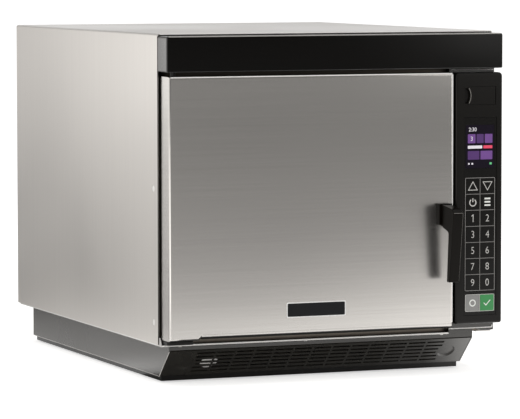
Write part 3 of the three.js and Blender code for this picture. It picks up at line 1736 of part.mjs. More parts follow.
function makePanelHousing() {
  const bottomZ = doorBottomZ + panelSideInset;
  const face = outline([
    [panelLeftX, bottomZ, panelLowCorner],
    [panelRightX, bottomZ, panelLowCorner],
    [panelRightX, doorTopZ, panelTopCorner],
    [panelLeftX, doorTopZ, panelTopCorner],
  ]);
  const body = softPlateY(face, faceY, panelRearY, panelEdge);
  const hollow = block(
    panelLeftX + panelWall,
    panelRightX - panelWall,
    faceY + panelFrontWall,
    panelRearY + overrun,
    bottomZ + panelWall,
    doorTopZ - panelWall
  );
  const recess = block(overlayLeftX, overlayRightX, faceY - overrun, recessY, overlayBottomZ, overlayTopZ);
  const gridTop = keyGridZ + keyRows * keyRowPitch;
  const keyPocket = block(
    overlayLeftX + pocketRim,
    overlayRightX - pocketRim,
    faceY - overrun,
    keyFloorY,
    padBottomZ - keyPocketRim,
    gridTop + keyPocketRim
  );
  const [dx0, dx1, dz0, dz1] = displayWindow(0);
  const displayPocket = block(dx0, dx1, faceY - overrun, keyFloorY, dz0, dz1);
  const hatchPocket = block(
    hatchX0,
    hatchX1,
    faceY - overrun,
    faceY + hatchDeep + hatchThick + seat,
    hatchZ0,
    hatchZ1
  );
  const midZ = (hatchZ0 + hatchZ1) / 2;
  const scoop = plateY(
    scoopShape(hatchX0, midZ, 0),
    faceY - overrun,
    faceY + hatchDeep + hatchThick + scoopPocket
  );
  const midX = (hatchX0 + hatchX1) / 2;
  const port = block(
    midX - portWidth / 2,
    midX + portWidth / 2,
    faceY - overrun,
    faceY + panelFrontWall + overrun,
    midZ - portHeight / 2,
    midZ + portHeight / 2
  );
  const pinReach = hatchPinLength + hatchPinFit;
  const pinHole = rod(
    [hatchAxisX, hatchAxisY, hatchZ0 - pinReach],
    [hatchAxisX, hatchAxisY, hatchZ1 + pinReach],
    hatchPin + hatchPinFit,
    wireSides + 2
  );
  const cuts = [hollow, recess, keyPocket, displayPocket, hatchPocket, scoop, port, pinHole];
  return joinAll([cutAll(body, cuts), ...boardBosses()]);
}

// The crescent that a fingernail lifts the hatch by
function scoopShape(x, z, grow) {
  const half = scoopHeight / 2 + grow;
  const depth = scoopDepth + grow;
  const shape = new THREE.Shape();
  shape.moveTo(x - grow - overrun, z - half);
  shape.lineTo(x, z - half);
  shape.quadraticCurveTo(x + 2 * depth, z, x, z + half);
  shape.lineTo(x - grow - overrun, z + half);
  shape.closePath();
  return shape;
}

function makeHatch() {
  const y0 = faceY + hatchDeep;
  const y1 = y0 + hatchThick;
  const x0 = hatchX0 + seat;
  const z0 = hatchZ0 + seat;
  const z1 = hatchZ1 - seat;
  const plate = block(x0, hatchAxisX, y0, y1, z0, z1);
  const knuckle = rod([hatchAxisX, hatchAxisY, z0], [hatchAxisX, hatchAxisY, z1], hatchKnuckle);
  const pin = rod(
    [hatchAxisX, hatchAxisY, hatchZ0 - hatchPinLength],
    [hatchAxisX, hatchAxisY, hatchZ1 + hatchPinLength],
    hatchPin,
    wireSides + 2
  );
  const scoop = plateY(scoopShape(hatchX0, (z0 + z1) / 2, 0), y0 - overrun, y1 + overrun);
  return joinAll([plate, knuckle]).subtract(scoop).add(pin);
}

// Overlay: the film-faced plate over the keypad, with a window for each key and the display
function makeOverlay() {
  const y0 = faceY + overlayDeep;
  const y1 = y0 + overlayThick;
  const windows = keyPlaces().map((place) => keyWindow(place, keyWeb / 2));
  windows.push(displayWindow(0));
  const x0 = overlayLeftX + seat;
  const x1 = overlayRightX - seat;
  return punch(block(x0, x1, y0, y1, overlayBottomZ + seat, overlayTopZ - seat), windows, y0, y1);
}

function addKeys() {
  const y = faceY + overlayDeep - keyProud;
  for (const place of keyPlaces()) {
    const halfX = place.width / 2 - keyWeb / 2 - seat;
    const halfZ = place.height / 2 - keyWeb / 2 - seat;
    const cap = rectangle(-halfX, halfX, -halfZ, halfZ);
    const face = rectangle(-halfX + keyBevel, halfX - keyBevel, -halfZ + keyBevel, halfZ - keyBevel);
    const solid = plateY(cap, keyBevel, keyDeep).add(plateY(face, 0, keyDeep / 2));
    const position = [place.x0 + place.width / 2, y, place.z0 + place.height / 2];
    addPiece(controls, place.name, solid, place.material, position);
  }
}

function makeDisplay() {
  const [x0, x1, z0, z1] = displayWindow(seat);
  const y0 = faceY + overlayDeep;
  return block(x0, x1, y0, y0 + displayDeep, z0, z1);
}

// Control board on bosses inside the panel housing
function bossPlaces() {
  const x0 = panelLeftX + panelWall + boardSideGap + bossInset;
  const x1 = panelRightX - panelWall - boardSideGap - bossInset;
  const z0 = doorBottomZ + panelWall + boardEndGap + bossInset;
  const z1 = doorTopZ - panelWall - boardEndGap - bossInset;
  return [[x0, z0], [x1, z0], [x0, z1], [x1, z1]];
}

function boardBosses() {
  const y0 = faceY + panelFrontWall - sheet / 2;
  const y1 = faceY + panelFrontWall + bossHeight;
  return bossPlaces().map(([x, z]) => rod([x, y0, z], [x, y1, z], bossRadius, wireSides + 2));
}

function makeControlBoard() {
  const y0 = faceY + panelFrontWall + bossHeight + seat;
  const y1 = y0 + boardThick;
  const x0 = panelLeftX + panelWall + boardSideGap;
  const x1 = panelRightX - panelWall - boardSideGap;
  const z0 = doorBottomZ + panelWall + boardEndGap;
  const z1 = doorTopZ - panelWall - boardEndGap;
  const board = block(x0, x1, y0, y1, z0, z1);
  const width = x1 - x0;
  const pitch = (z1 - z0) / chipShares.length;
  const chipY0 = y1 - boardThick / 2;
  const chips = chipShares.map(([left, right, low, high], row) => {
    const base = z0 + row * pitch;
    const [cx0, cx1] = [x0 + width * left, x0 + width * right];
    return block(cx0, cx1, chipY0, y1 + chipHeight, base + pitch * low, base + pitch * high);
  });
  return joinAll([board, ...chips]);
}

// Assembly: cabinet
addPiece(cabinet, 'base_pan', makeBasePan(), darkPaint);
addPiece(cabinet, 'floor_plate', makeFloorPlate(), innerSteel);
addPiece(cabinet, 'outer_wrap', makeOuterWrap(), brushedSteel);
addPiece(cabinet, 'front_frame', makeFrontFrame(), innerSteel);
addPiece(cabinet, 'rear_panel', makeRearPanel(), galvanised);
const [glandX, glandZ] = glandPlace();
addPiece(cabinet, 'cord_gland', makeCordGland(), blackPlastic, [glandX, rearPanelY, glandZ]);
addPiece(cabinet, 'top_trim', makeTopTrim(), blackPlastic);
addPiece(cabinet, 'upper_hinge', makeUpperHinge(), innerSteel);
addPiece(cabinet, 'lower_hinge', makeLowerHinge(), darkPaint);
addPiece(cabinet, 'interlock_housing', makeInterlock(), blackPlastic);
addFeet();
addAirFilter();

// Assembly: cooking chamber
addPiece(chamber, 'cavity_liner', makeLiner(), innerSteel);
addPiece(chamber, 'ceramic_floor', makeCeramicFloor(), ceramic);
addPiece(chamber, 'oven_rack', makeRack(), innerSteel);
addPiece(chamber, 'fan_baffle', makeBaffle(), innerSteel);
addPiece(chamber, 'convection_fan', makeConvectionFan(), galvanised);
addPiece(chamber, 'heater_coil', makeHeater(), innerSteel);
addPiece(chamber, 'convection_motor', makeConvectionMotor(), galvanised);

// Assembly: power and cooling
addPiece(powerUnit, 'waveguide', makeWaveguide(), galvanised);
addPiece(powerUnit, 'stirrer', makeStirrer(), innerSteel);
addPiece(powerUnit, 'stirrer_motor', makeStirrerMotor(), galvanised);
magnetronYs.forEach((y, index) => {
  const name = ['magnetron_front', 'magnetron_rear'][index];
  addPiece(powerUnit, name, makeMagnetron(), galvanised, [bayX, y, ductTopZ + seat]);
});
const capacitorY = rearPanelY - canSetback;
const transformerBay = (capacitorY - canDepth / 2 - ductY1) / 2;
['transformer_front', 'transformer_rear'].forEach((name, index) => {
  const y = ductY1 + transformerBay * (index + 1 / 2);
  addPiece(powerUnit, name, makeTransformer(), copper, [bayX, y, standZ]);
});
addPiece(powerUnit, 'capacitor', makeCapacitor(), galvanised, [bayX, capacitorY, standZ]);
addPiece(powerUnit, 'cooling_blower', makeBlower(), galvanised);
addPiece(powerUnit, 'blower_wheel', makeBlowerWheel(), innerSteel);

// Assembly: door
addPiece(doorGroup, 'door_skin', makeDoorSkin(), doorSteel);
addPiece(doorGroup, 'door_choke', makeDoorChoke(), innerSteel);
addPiece(doorGroup, 'door_inner_panel', makeDoorInnerPanel(), innerSteel);
addPiece(doorGroup, 'door_seal', makeDoorSeal(), silicone);
addPiece(doorGroup, 'door_handle', makeHandle(), blackPlastic);
addPiece(doorGroup, 'door_latch', makeLatch(), blackPlastic);

// Assembly: control panel
addPiece(controls, 'panel_bracket', makePanelBracket(), darkPaint);
addPiece(controls, 'panel_housing', makePanelHousing(), blackPlastic);
addPiece(controls, 'keypad_overlay', makeOverlay(), overlayFilm);
addPiece(controls, 'display', makeDisplay(), screenGlass);
addPiece(controls, 'port_hatch', makeHatch(), blackPlastic);
addPiece(controls, 'control_board', makeControlBoard(), boardGreen);
addKeys();

export default oven;
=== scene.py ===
import math

import bmesh
import bpy
from mathutils import Matrix, Vector


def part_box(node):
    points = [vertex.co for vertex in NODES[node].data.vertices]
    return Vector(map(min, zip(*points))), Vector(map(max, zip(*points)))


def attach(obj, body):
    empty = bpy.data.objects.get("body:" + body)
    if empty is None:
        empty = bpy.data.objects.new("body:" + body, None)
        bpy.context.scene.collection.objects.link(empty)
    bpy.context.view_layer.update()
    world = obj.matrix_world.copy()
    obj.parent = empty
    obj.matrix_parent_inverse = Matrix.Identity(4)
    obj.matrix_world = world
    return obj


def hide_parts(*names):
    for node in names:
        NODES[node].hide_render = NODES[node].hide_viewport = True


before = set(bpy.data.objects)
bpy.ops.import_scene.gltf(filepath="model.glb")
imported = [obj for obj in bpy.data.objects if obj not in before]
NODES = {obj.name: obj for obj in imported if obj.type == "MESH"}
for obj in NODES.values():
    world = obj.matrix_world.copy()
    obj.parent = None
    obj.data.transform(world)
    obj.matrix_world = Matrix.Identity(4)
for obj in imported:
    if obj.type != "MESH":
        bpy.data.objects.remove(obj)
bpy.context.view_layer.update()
SCENE = bpy.context.scene
MM = 0.001  # this script counts in millimetres, and the scene in metres
WELD_LIMIT = 1e-6
FLAT_LIMIT = math.radians(0.4)
CREASE = math.radians(32)
BEVEL_STEPS = 3
CORNER_STEPS = 5
FONT_SHARE = 1.38  # size of the built-in font for digits one unit high
MITRE_LIMIT = 0.3


# Geometry helpers

def mm(*values):
    return tuple(v * MM for v in values)


def link(name, mesh, material=None, smooth=False):
    obj = bpy.data.objects.new(name, mesh)
    SCENE.collection.objects.link(obj)
    if material:
        mesh.materials.append(material)
    if smooth:
        mesh.shade_smooth()
    return obj


def mesh_from(name, verts, faces, material):
    mesh = bpy.data.meshes.new(name)
    mesh.from_pydata([Vector(v) * MM for v in verts], [], faces)
    mesh.validate()
    mesh.update()
    return link(name, mesh, material)


def modifier(obj, kind, name, **values):
    mod = obj.modifiers.new(name, kind)
    for key, value in values.items():
        setattr(mod, key, value)
    return mod


def weld(obj, merge=True):
    """Welds split vertices for smooth shading, and merges flat neighbours into one face."""
    obj.data.shade_smooth()
    if "custom_normal" in obj.data.attributes:
        obj.data.attributes.remove(obj.data.attributes["custom_normal"])
    modifier(obj, "WELD", "weld", merge_threshold=WELD_LIMIT)
    if merge:
        modifier(obj, "DECIMATE", "flats", decimate_type="DISSOLVE", angle_limit=FLAT_LIMIT)


def even_normals(obj):
    modifier(obj, "WEIGHTED_NORMAL", "normals", keep_sharp=False, weight=60)


def soften(obj, width, merge):
    """Welds a node and rounds its edges, or only splits them where it has no width for that."""
    weld(obj, merge)
    if width:
        modifier(obj, "BEVEL", "edges", width=width * MM, segments=BEVEL_STEPS, limit_method="ANGLE",
                 angle_limit=CREASE, use_clamp_overlap=True, miter_outer="MITER_ARC")
    else:
        modifier(obj, "EDGE_SPLIT", "split", split_angle=CREASE)
    even_normals(obj)


def shown_mesh(obj):
    """The mesh that an object shows, with its modifiers or its curve's thickness."""
    bpy.context.view_layer.update()
    return bpy.data.meshes.new_from_object(obj.evaluated_get(bpy.context.evaluated_depsgraph_get()))


def block(name, lo, hi, material, bevel=0.0, segments=2):
    """A box between two corners in millimetres, with rounded edges."""
    x0, y0, z0 = lo
    x1, y1, z1 = hi
    verts = [(x, y, z) for x in (x0, x1) for y in (y0, y1) for z in (z0, z1)]
    faces = [(0, 1, 3, 2), (4, 6, 7, 5), (0, 4, 5, 1), (2, 3, 7, 6), (0, 2, 6, 4), (1, 5, 7, 3)]
    obj = mesh_from(name, verts, faces, material)
    if bevel:
        modifier(obj, "BEVEL", "edges", width=bevel * MM, segments=segments, limit_method="ANGLE")
        obj.data.shade_smooth()
        modifier(obj, "WEIGHTED_NORMAL", "normals")
    return obj


def ring_points(cx, cz, rx, rz, count, start=0.0, sweep=2 * math.pi):
    """Points on an ellipse in X and Z: a closed ring, or an arc of it."""
    closed = abs(sweep - 2 * math.pi) < 1e-6
    steps = count if closed else count - 1
    return [
        (cx + rx * math.cos(start + sweep * i / steps), cz + rz * math.sin(start + sweep * i / steps))
        for i in range(count)
    ]


def rounded_rect(x0, x1, z0, z1, r):
    """The outline of a rectangle in X and Z, with its corners rounded to the radius r."""
    points = []
    centres = ((x1 - r, z1 - r), (x0 + r, z1 - r), (x0 + r, z0 + r), (x1 - r, z0 + r))
    for quarter, (cx, cz) in enumerate(centres):
        for i in range(CORNER_STEPS + 1):
            a = math.radians(90 * quarter + 90 * i / CORNER_STEPS)
            points.append((cx + r * math.cos(a), cz + r * math.sin(a)))
    return points


def prism_y(name, points, y0, y1, material, bevel=0.0):
    """A closed outline in X and Z, as a solid between y0 (front) and y1 (rear)."""
    count = len(points)
    verts = [(x, y0, z) for x, z in points] + [(x, y1, z) for x, z in points]
    faces = [tuple(range(count)), tuple(range(2 * count - 1, count - 1, -1))]
    faces += [(i, i + count, (i + 1) % count + count, (i + 1) % count) for i in range(count)]
    obj = mesh_from(name, verts, faces, material)
    fix_normals(obj)
    if bevel:
        obj.data.shade_smooth()
        modifier(obj, "BEVEL", "edges", width=bevel * MM, segments=2, limit_method="ANGLE",
                 angle_limit=math.radians(40))
        modifier(obj, "WEIGHTED_NORMAL", "normals")
    return obj


def fix_normals(obj):
    bm = bmesh.new()
    bm.from_mesh(obj.data)
    bmesh.ops.recalc_face_normals(bm, faces=bm.faces)
    bm.to_mesh(obj.data)
    bm.free()


def frame_y(name, outer, inner, y0, y1, material):
    """The band between two outlines with the same number of points, in X and Z."""
    count = len(outer)
    verts = []
    for y in (y0, y1):
        verts += [(x, y, z) for x, z in outer] + [(x, y, z) for x, z in inner]
    faces = []
    for i in range(count):
        j = (i + 1) % count
        faces.append((i, j, j + count, i + count))
        faces.append((i + 2 * count, i + 3 * count, j + 3 * count, j + 2 * count))
        faces.append((i, i + 2 * count, j + 2 * count, j))
        faces.append((i + count, j + count, j + 3 * count, i + 3 * count))
    obj = mesh_from(name, verts, faces, material)
    fix_normals(obj)
    return obj


def stroke_y(name, points, width, y0, y1, material, closed=False):
    """A flat line of one width through points in X and Z, mitred at its corners."""
    count = len(points)
    left, right = [], []
    for i, (x, z) in enumerate(points):
        before = points[(i - 1) % count] if closed or i > 0 else None
        after = points[(i + 1) % count] if closed or i < count - 1 else None
        d1 = Vector((x - before[0], z - before[1])).normalized() if before else None
        d2 = Vector((after[0] - x, after[1] - z)).normalized() if after else None
        d1, d2 = d1 or d2, d2 or d1
        normal = Vector((-(d1 + d2).y, (d1 + d2).x)).normalized()
        reach = width / 2 / max(normal.dot(Vector((-d1.y, d1.x))), MITRE_LIMIT)
        left.append((x + normal.x * reach, z + normal.y * reach))
        right.append((x - normal.x * reach, z - normal.y * reach))
    if closed:
        return frame_y(name, left, right, y0, y1, material)
    return prism_y(name, left + right[::-1], y0, y1, material)


def disc(name, centre, radius, depth, axis, material, bevel=0.0, sides=32):
    """A round button with its face along axis, from centre outwards."""
    bm = bmesh.new()
    bmesh.ops.create_cone(bm, cap_ends=True, segments=sides, radius1=radius * MM, radius2=radius * MM,
                          depth=depth * MM)
    mesh = bpy.data.meshes.new(name)
    bm.to_mesh(mesh)
    bm.free()
    turn = Vector((0, 0, 1)).rotation_difference(Vector(axis)).to_matrix().to_4x4()
    place = Matrix.Translation(Vector(centre) * MM + Vector(axis) * depth * MM / 2)
    mesh.transform(place @ turn)
    obj = link(name, mesh, material, smooth=True)
    if bevel:
        modifier(obj, "BEVEL", "edges", width=bevel * MM, segments=3, limit_method="ANGLE")
    modifier(obj, "WEIGHTED_NORMAL", "normals")
    return obj


def digits_y(name, text, x, z, height, y0, y1, material, squeeze, weight=0.0):
    """Plain digits centred on x and z, facing the cook: squeezed in width, and bolder by their weight."""
    curve = bpy.data.curves.new(name, "FONT")
    curve.body = text
    curve.align_x = "CENTER"
    curve.align_y = "CENTER"
    curve.size = height * FONT_SHARE * MM
    curve.extrude = (y1 - y0) / 2 * MM
    curve.offset = weight * MM
    curve.resolution_u = 4
    obj = bpy.data.objects.new(name, curve)
    SCENE.collection.objects.link(obj)
    obj.location = mm(x, (y0 + y1) / 2, z)
    obj.rotation_euler = (math.pi / 2, 0, 0)
    obj.scale = (squeeze, 1, 1)
    mesh = shown_mesh(obj)
    mesh.transform(obj.matrix_world)
    bpy.data.objects.remove(obj)
    mesh.materials.clear()
    result = link(name, mesh, material)
    co = [v.co for v in mesh.vertices]
    shift_x = x * MM - (min(c.x for c in co) + max(c.x for c in co)) / 2
    shift_z = z * MM - (min(c.z for c in co) + max(c.z for c in co)) / 2
    mesh.transform(Matrix.Translation((shift_x, 0, shift_z)))
    return result


def wire(name, points, radius, material):
    """A round bead of one radius along points in X, Y and Z."""
    curve = bpy.data.curves.new(name, "CURVE")
    curve.dimensions = "3D"
    curve.bevel_depth = radius * MM
    curve.bevel_resolution = 3
    curve.use_fill_caps = True
    spline = curve.splines.new("POLY")
    spline.points.add(len(points) - 1)
    for point, place in zip(spline.points, points):
        point.co = (*mm(*place), 1.0)
    obj = bpy.data.objects.new(name, curve)
    SCENE.collection.objects.link(obj)
    mesh = shown_mesh(obj)
    bpy.data.objects.remove(obj)
    mesh.materials.clear()
    return link(name, mesh, material, smooth=True)


def pocketed(name, places, radius, depth):
    """Shows a node with shallow round pockets, each given by its centre and outward axis."""
    node = NODES[name]
    shown = bpy.data.objects.new(name + "_shown", node.data.copy())
    SCENE.collection.objects.link(shown)
    weld(shown)
    cutters = []
    for index, (centre, axis) in enumerate(places):
        start = Vector(centre) - Vector(axis) * depth
        cutter = disc(f"cutter_{index}", start, radius, depth * 2, axis, None, sides=24)
        cutters.append(cutter)
        modifier(shown, "BOOLEAN", f"pocket_{index}", object=cutter, operation="DIFFERENCE", solver="EXACT")
    mesh = shown_mesh(shown)
    shown.modifiers.clear()
    shown.data = mesh
    for cutter in cutters:
        bpy.data.objects.remove(cutter)
    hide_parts(name)
    on("cabinet", shown)
    return shown


def on(body, *objs):
    for obj in objs:
        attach(obj, body)


# Materials

class Shader:
    """A Principled material with small helpers for its procedural inputs."""

    def __init__(self, name, color, roughness, metallic=0.0):
        self.mat = bpy.data.materials.new(name)
        self.mat.use_nodes = True
        self.tree = self.mat.node_tree
        self.bsdf = self.tree.nodes["Principled BSDF"]
        self.bsdf.inputs["Base Color"].default_value = (*color, 1.0)
        self.bsdf.inputs["Roughness"].default_value = roughness
        self.bsdf.inputs["Metallic"].default_value = metallic

    def node(self, kind, **values):
        node = self.tree.nodes.new(kind)
        for key, value in values.items():
            setattr(node, key, value)
        return node

    def link(self, a, b):
        self.tree.links.new(a, b)

    def noise(self, stretch, scale, detail, rough=0.55):
        coord = self.node("ShaderNodeTexCoord")
        mapping = self.node("ShaderNodeMapping")
        mapping.inputs["Scale"].default_value = stretch
        noise = self.node("ShaderNodeTexNoise")
        noise.inputs["Scale"].default_value = scale
        noise.inputs["Detail"].default_value = detail
        noise.inputs["Roughness"].default_value = rough
        self.link(coord.outputs["Object"], mapping.inputs["Vector"])
        self.link(mapping.outputs["Vector"], noise.inputs["Vector"])
        return noise.outputs["Fac"]

    def spread(self, fac, low, high):
        """Stretches the middle of a noise, where nearly all of its values lie, from low to high."""
        ramp = self.node("ShaderNodeMapRange")
        ramp.inputs["From Min"].default_value = 0.3
        ramp.inputs["From Max"].default_value = 0.7
        ramp.inputs["To Min"].default_value = low
        ramp.inputs["To Max"].default_value = high
        self.link(fac, ramp.inputs["Value"])
        return ramp.outputs["Result"]

    def tint(self, fac, dark, light):
        mix = self.node("ShaderNodeMix", data_type="RGBA")
        mix.inputs["A"].default_value = (*dark, 1.0)
        mix.inputs["B"].default_value = (*light, 1.0)
        self.link(fac, mix.inputs["Factor"])
        self.link(mix.outputs["Result"], self.bsdf.inputs["Base Color"])

    def rough(self, fac, low, high):
        self.link(self.spread(fac, low, high), self.bsdf.inputs["Roughness"])

    def bump(self, fac, strength, distance):
        bump = self.node("ShaderNodeBump")
        bump.inputs["Strength"].default_value = strength
        bump.inputs["Distance"].default_value = distance * MM
        self.link(fac, bump.inputs["Height"])
        self.link(bump.outputs["Normal"], self.bsdf.inputs["Normal"])


def lit(name, color, roughness, glow):
    """A lit part of the display."""
    s = Shader(name, color, roughness)
    s.bsdf.inputs["Emission Color"].default_value = (*color, 1.0)
    s.bsdf.inputs["Emission Strength"].default_value = glow
    return s.mat


def scaled(color, k):
    return tuple(c * k for c in color)


def brushed(name, color, stretch, roughness, vary, turn, anisotropy):
    """Steel with a grain drawn out along the axis of the lowest stretch."""
    s = Shader(name, color, roughness, 1.0)
    s.bsdf.inputs["Anisotropic"].default_value = anisotropy
    s.bsdf.inputs["Anisotropic Rotation"].default_value = turn
    tangent = s.node("ShaderNodeTangent", direction_type="RADIAL", axis="Z")
    s.link(tangent.outputs["Tangent"], s.bsdf.inputs["Tangent"])
    fine = s.noise(stretch, 1.0, 4.0, 0.65)
    broad = s.noise((3, 3, 3), 1.0, 2.0)
    s.tint(s.spread(fine, 0, 1), scaled(color, 1 - vary), scaled(color, 1 + vary * 0.6))
    s.rough(broad, roughness * 0.9, roughness * 1.12)
    s.bump(fine, 0.06, 0.05)
    return s.mat


def moulded(name, color, roughness, grain, specular=0.5):
    """Plastic, rubber or film with a fine grain."""
    s = Shader(name, color, roughness)
    s.bsdf.inputs["Specular IOR Level"].default_value = specular
    fine = s.noise((1, 1, 1), 1400, 2.0)
    broad = s.noise((1, 1, 1), 9, 2.0)
    s.rough(broad, roughness * 0.88, roughness * 1.12)
    s.bump(fine, grain, 0.05)
    return s.mat


def painted(name, color, roughness, metallic, peel):
    """A coat with a soft unevenness in colour and surface."""
    s = Shader(name, color, roughness, metallic)
    fine = s.noise((1, 1, 1), 600, 2.0)
    broad = s.noise((1, 1, 1), 7, 3.0)
    s.tint(s.spread(broad, 0, 1), scaled(color, 0.92), scaled(color, 1.08))
    s.rough(broad, roughness * 0.9, roughness * 1.15)
    s.bump(fine, peel, 0.05)
    return s.mat


def plain(name, color, roughness, metallic=0.0):
    return Shader(name, color, roughness, metallic).mat


def gloss(mat, level):
    mat.node_tree.nodes["Principled BSDF"].inputs["Specular IOR Level"].default_value = level


def shade_along(mat, axis, low, high, gain_low, gain_high):
    """Multiplies the colour by a gain that changes along one axis of the piece, to paint shade on it."""
    tree = mat.node_tree
    base = tree.nodes["Principled BSDF"].inputs["Base Color"]
    coord = tree.nodes.new("ShaderNodeTexCoord")
    split = tree.nodes.new("ShaderNodeSeparateXYZ")
    span = tree.nodes.new("ShaderNodeMapRange")
    for key, value in (("From Min", low), ("From Max", high), ("To Min", gain_low), ("To Max", gain_high)):
        span.inputs[key].default_value = value
    times = tree.nodes.new("ShaderNodeVectorMath")
    times.operation = "SCALE"
    tree.links.new(coord.outputs["Object"], split.inputs[0])
    tree.links.new(split.outputs[axis], span.inputs["Value"])
    tree.links.new(base.links[0].from_socket, times.inputs[0])
    tree.links.new(span.outputs["Result"], times.inputs["Scale"])
    tree.links.new(times.outputs["Vector"], base)


WRAP = brushed("wrap_steel", (0.70, 0.675, 0.645), (260, 260, 3), 0.34, 0.02, 0.25, 0.4)
DOOR = brushed("door_steel", (0.60, 0.583, 0.562), (3, 3, 420), 0.21, 0.035, 0.0, 0.3)
# A darker copy of the door steel: painted shade for the door's free edge
DOOR_EDGE_SHADED = brushed("door_edge_steel_shaded", (0.36, 0.35, 0.337), (3, 3, 420), 0.34, 0.035, 0.0, 0.3)
INNER = brushed("inner_steel", (0.60, 0.59, 0.58), (5, 5, 200), 0.32, 0.04, 0.0, 0.3)
CAVITY = brushed("cavity_steel", (0.62, 0.61, 0.60), (200, 5, 5), 0.3, 0.04, 0.0, 0.2)
# Near-white steel for beads and dimples: painted highlights on edges
EDGE = plain("sheet_edge_highlight", (0.95, 0.94, 0.92), 0.28, 1.0)
ZINC = painted("zinc_coat", (0.52, 0.53, 0.54), 0.45, 0.9, 0.05)
DARK = painted("dark_paint", (0.022, 0.020, 0.016), 0.26, 0.0, 0.05)
gloss(DARK, 0.8)
# The front frame's steel is painted dark for the shade it stands in: darkest in its left corner and toward
# its top, where the door shades it
FRAME_SHADED = brushed("frame_steel_shaded", (0.12, 0.106, 0.09), (160, 5, 5), 0.32, 0.05, 0.0, 0.2)
shade_along(FRAME_SHADED, "X", -0.239, -0.232, 0.15, 1.0)
shade_along(FRAME_SHADED, "Z", 0.30, 0.40, 1.0, 0.4)
BLACK = moulded("black_moulding", (0.0065, 0.0058, 0.005), 0.30, 0.06, 0.2)
HOOD = moulded("hood_moulding", (0.0022, 0.0019, 0.0015), 0.20, 0.03, 0.2)
RAIL = moulded("rail_paint", (0.006, 0.0055, 0.005), 0.34, 0.05, 0.3)
# A smoother, more reflective copy of the hood moulding: a lit copy, painted highlight for its ends and top
HOOD_SIDE_LIT = moulded("hood_side_moulding_lit", (0.0022, 0.0019, 0.0015), 0.13, 0.02, 1.0)
GRIP = moulded("grip_moulding", (0.0045, 0.0036, 0.0026), 0.34, 0.06, 0.1)
# A lighter grey for lines on black parts: painted highlights on their edges
EDGE_GLINT = plain("grip_edge_highlight", (0.20, 0.19, 0.175), 0.4)
FILM = moulded("overlay_film", (0.006, 0.0055, 0.005), 0.26, 0.03, 0.2)
KEY = moulded("key_film", (0.005, 0.0045, 0.004), 0.3, 0.05, 0.2)
GREY_KEY = moulded("grey_key", (0.27, 0.27, 0.265), 0.38, 0.03)
GREEN_KEY = moulded("green_key", (0.035, 0.27, 0.075), 0.36, 0.03)
PRINT = plain("light_print", (0.66, 0.65, 0.63), 0.5)
LINE = plain("grid_print", (0.36, 0.35, 0.34), 0.5)
WHITE = plain("white_print", (0.85, 0.87, 0.84), 0.5)
RUBBER = moulded("foot_rubber", (0.02, 0.02, 0.02), 0.8, 0.2, 0.3)
SILICONE = moulded("seal_silicone", (0.12, 0.115, 0.11), 0.6, 0.1, 0.3)
CERAMIC = moulded("floor_ceramic", (0.72, 0.70, 0.65), 0.3, 0.03)
COPPER = painted("winding", (0.45, 0.18, 0.07), 0.4, 0.8, 0.2)
BOARD = painted("board", (0.02, 0.13, 0.05), 0.5, 0.0, 0.05)
BADGE = plain("badge_slate", (0.010, 0.0105, 0.012), 0.35)
gloss(BADGE, 0.15)
RIM = plain("badge_rim", (0.84, 0.84, 0.83), 0.4)
SCREEN = lit("screen_ground", (0.006, 0.004, 0.009), 0.16, 0.4)
gloss(SCREEN, 0.2)
SCREEN_DIM = lit("screen_dim", (0.060, 0.022, 0.110), 0.3, 0.5)
SCREEN_TILE = lit("screen_tile", (0.125, 0.05, 0.21), 0.3, 0.4)
SCREEN_RED = lit("screen_red", (0.60, 0.05, 0.10), 0.3, 0.5)
SCREEN_WHITE = lit("screen_white", (0.62, 0.60, 0.64), 0.3, 0.40)
SCREEN_GREEN = lit("screen_green", (0.1, 0.45, 0.18), 0.3, 0.45)
SCREW = plain("screw_steel", (0.92, 0.91, 0.89), 0.22, 1.0)
# Near-black for the screw sockets: painted shade for their holes
SOCKET_SHADE = plain("socket_shade", (0.03, 0.03, 0.03), 0.6)
# A light grey for the base pan's folds: painted highlights
FOLD_HIGHLIGHT = plain("fold_highlight", (0.64, 0.62, 0.60), 0.4)
# A mid grey for the hood's top edge: painted highlight
HOOD_HIGHLIGHT = plain("hood_top_highlight", (0.34, 0.335, 0.32), 0.35)
# Near-white for beads, strips, screw heads and the disc behind the filter: painted highlights
PALE_HIGHLIGHT = plain("pale_highlight", (0.90, 0.89, 0.87), 0.35, 0.15)

# Which nodes each material dresses
DRESS = {
    DOOR: ["door_skin"],
    INNER: ["floor_plate", "door_choke", "door_inner_panel", "heater_coil", "stirrer", "blower_wheel"],
    FRAME_SHADED: ["front_frame"],
    CAVITY: ["cavity_liner", "oven_rack", "fan_baffle"],
    ZINC: ["rear_panel", "convection_fan", "convection_motor", "waveguide", "stirrer_motor",
           "magnetron_front", "magnetron_rear", "capacitor", "cooling_blower"],
    DARK: ["base_pan", "air_filter", "panel_bracket"],
    BLACK: ["lower_hinge", "upper_hinge", "cord_gland", "interlock_housing", "panel_housing", "port_hatch",
            "door_latch"],
    HOOD: ["top_trim"],
    GRIP: ["door_handle"],
    FILM: ["keypad_overlay"],
    SCREEN: ["display"],
    RUBBER: ["foot_front_left", "foot_front_right", "foot_rear_left", "foot_rear_right"],
    SILICONE: ["door_seal"],
    CERAMIC: ["ceramic_floor"],
    COPPER: ["transformer_front", "transformer_rear"],
    BOARD: ["control_board"],
    GREY_KEY: ["key_stop"],
    GREEN_KEY: ["key_start"],
    KEY: ["key_" + key for key in ("9", "0", "7", "8", "5", "6", "3", "4", "1", "2",
                                   "power", "menu", "up", "down")],
}
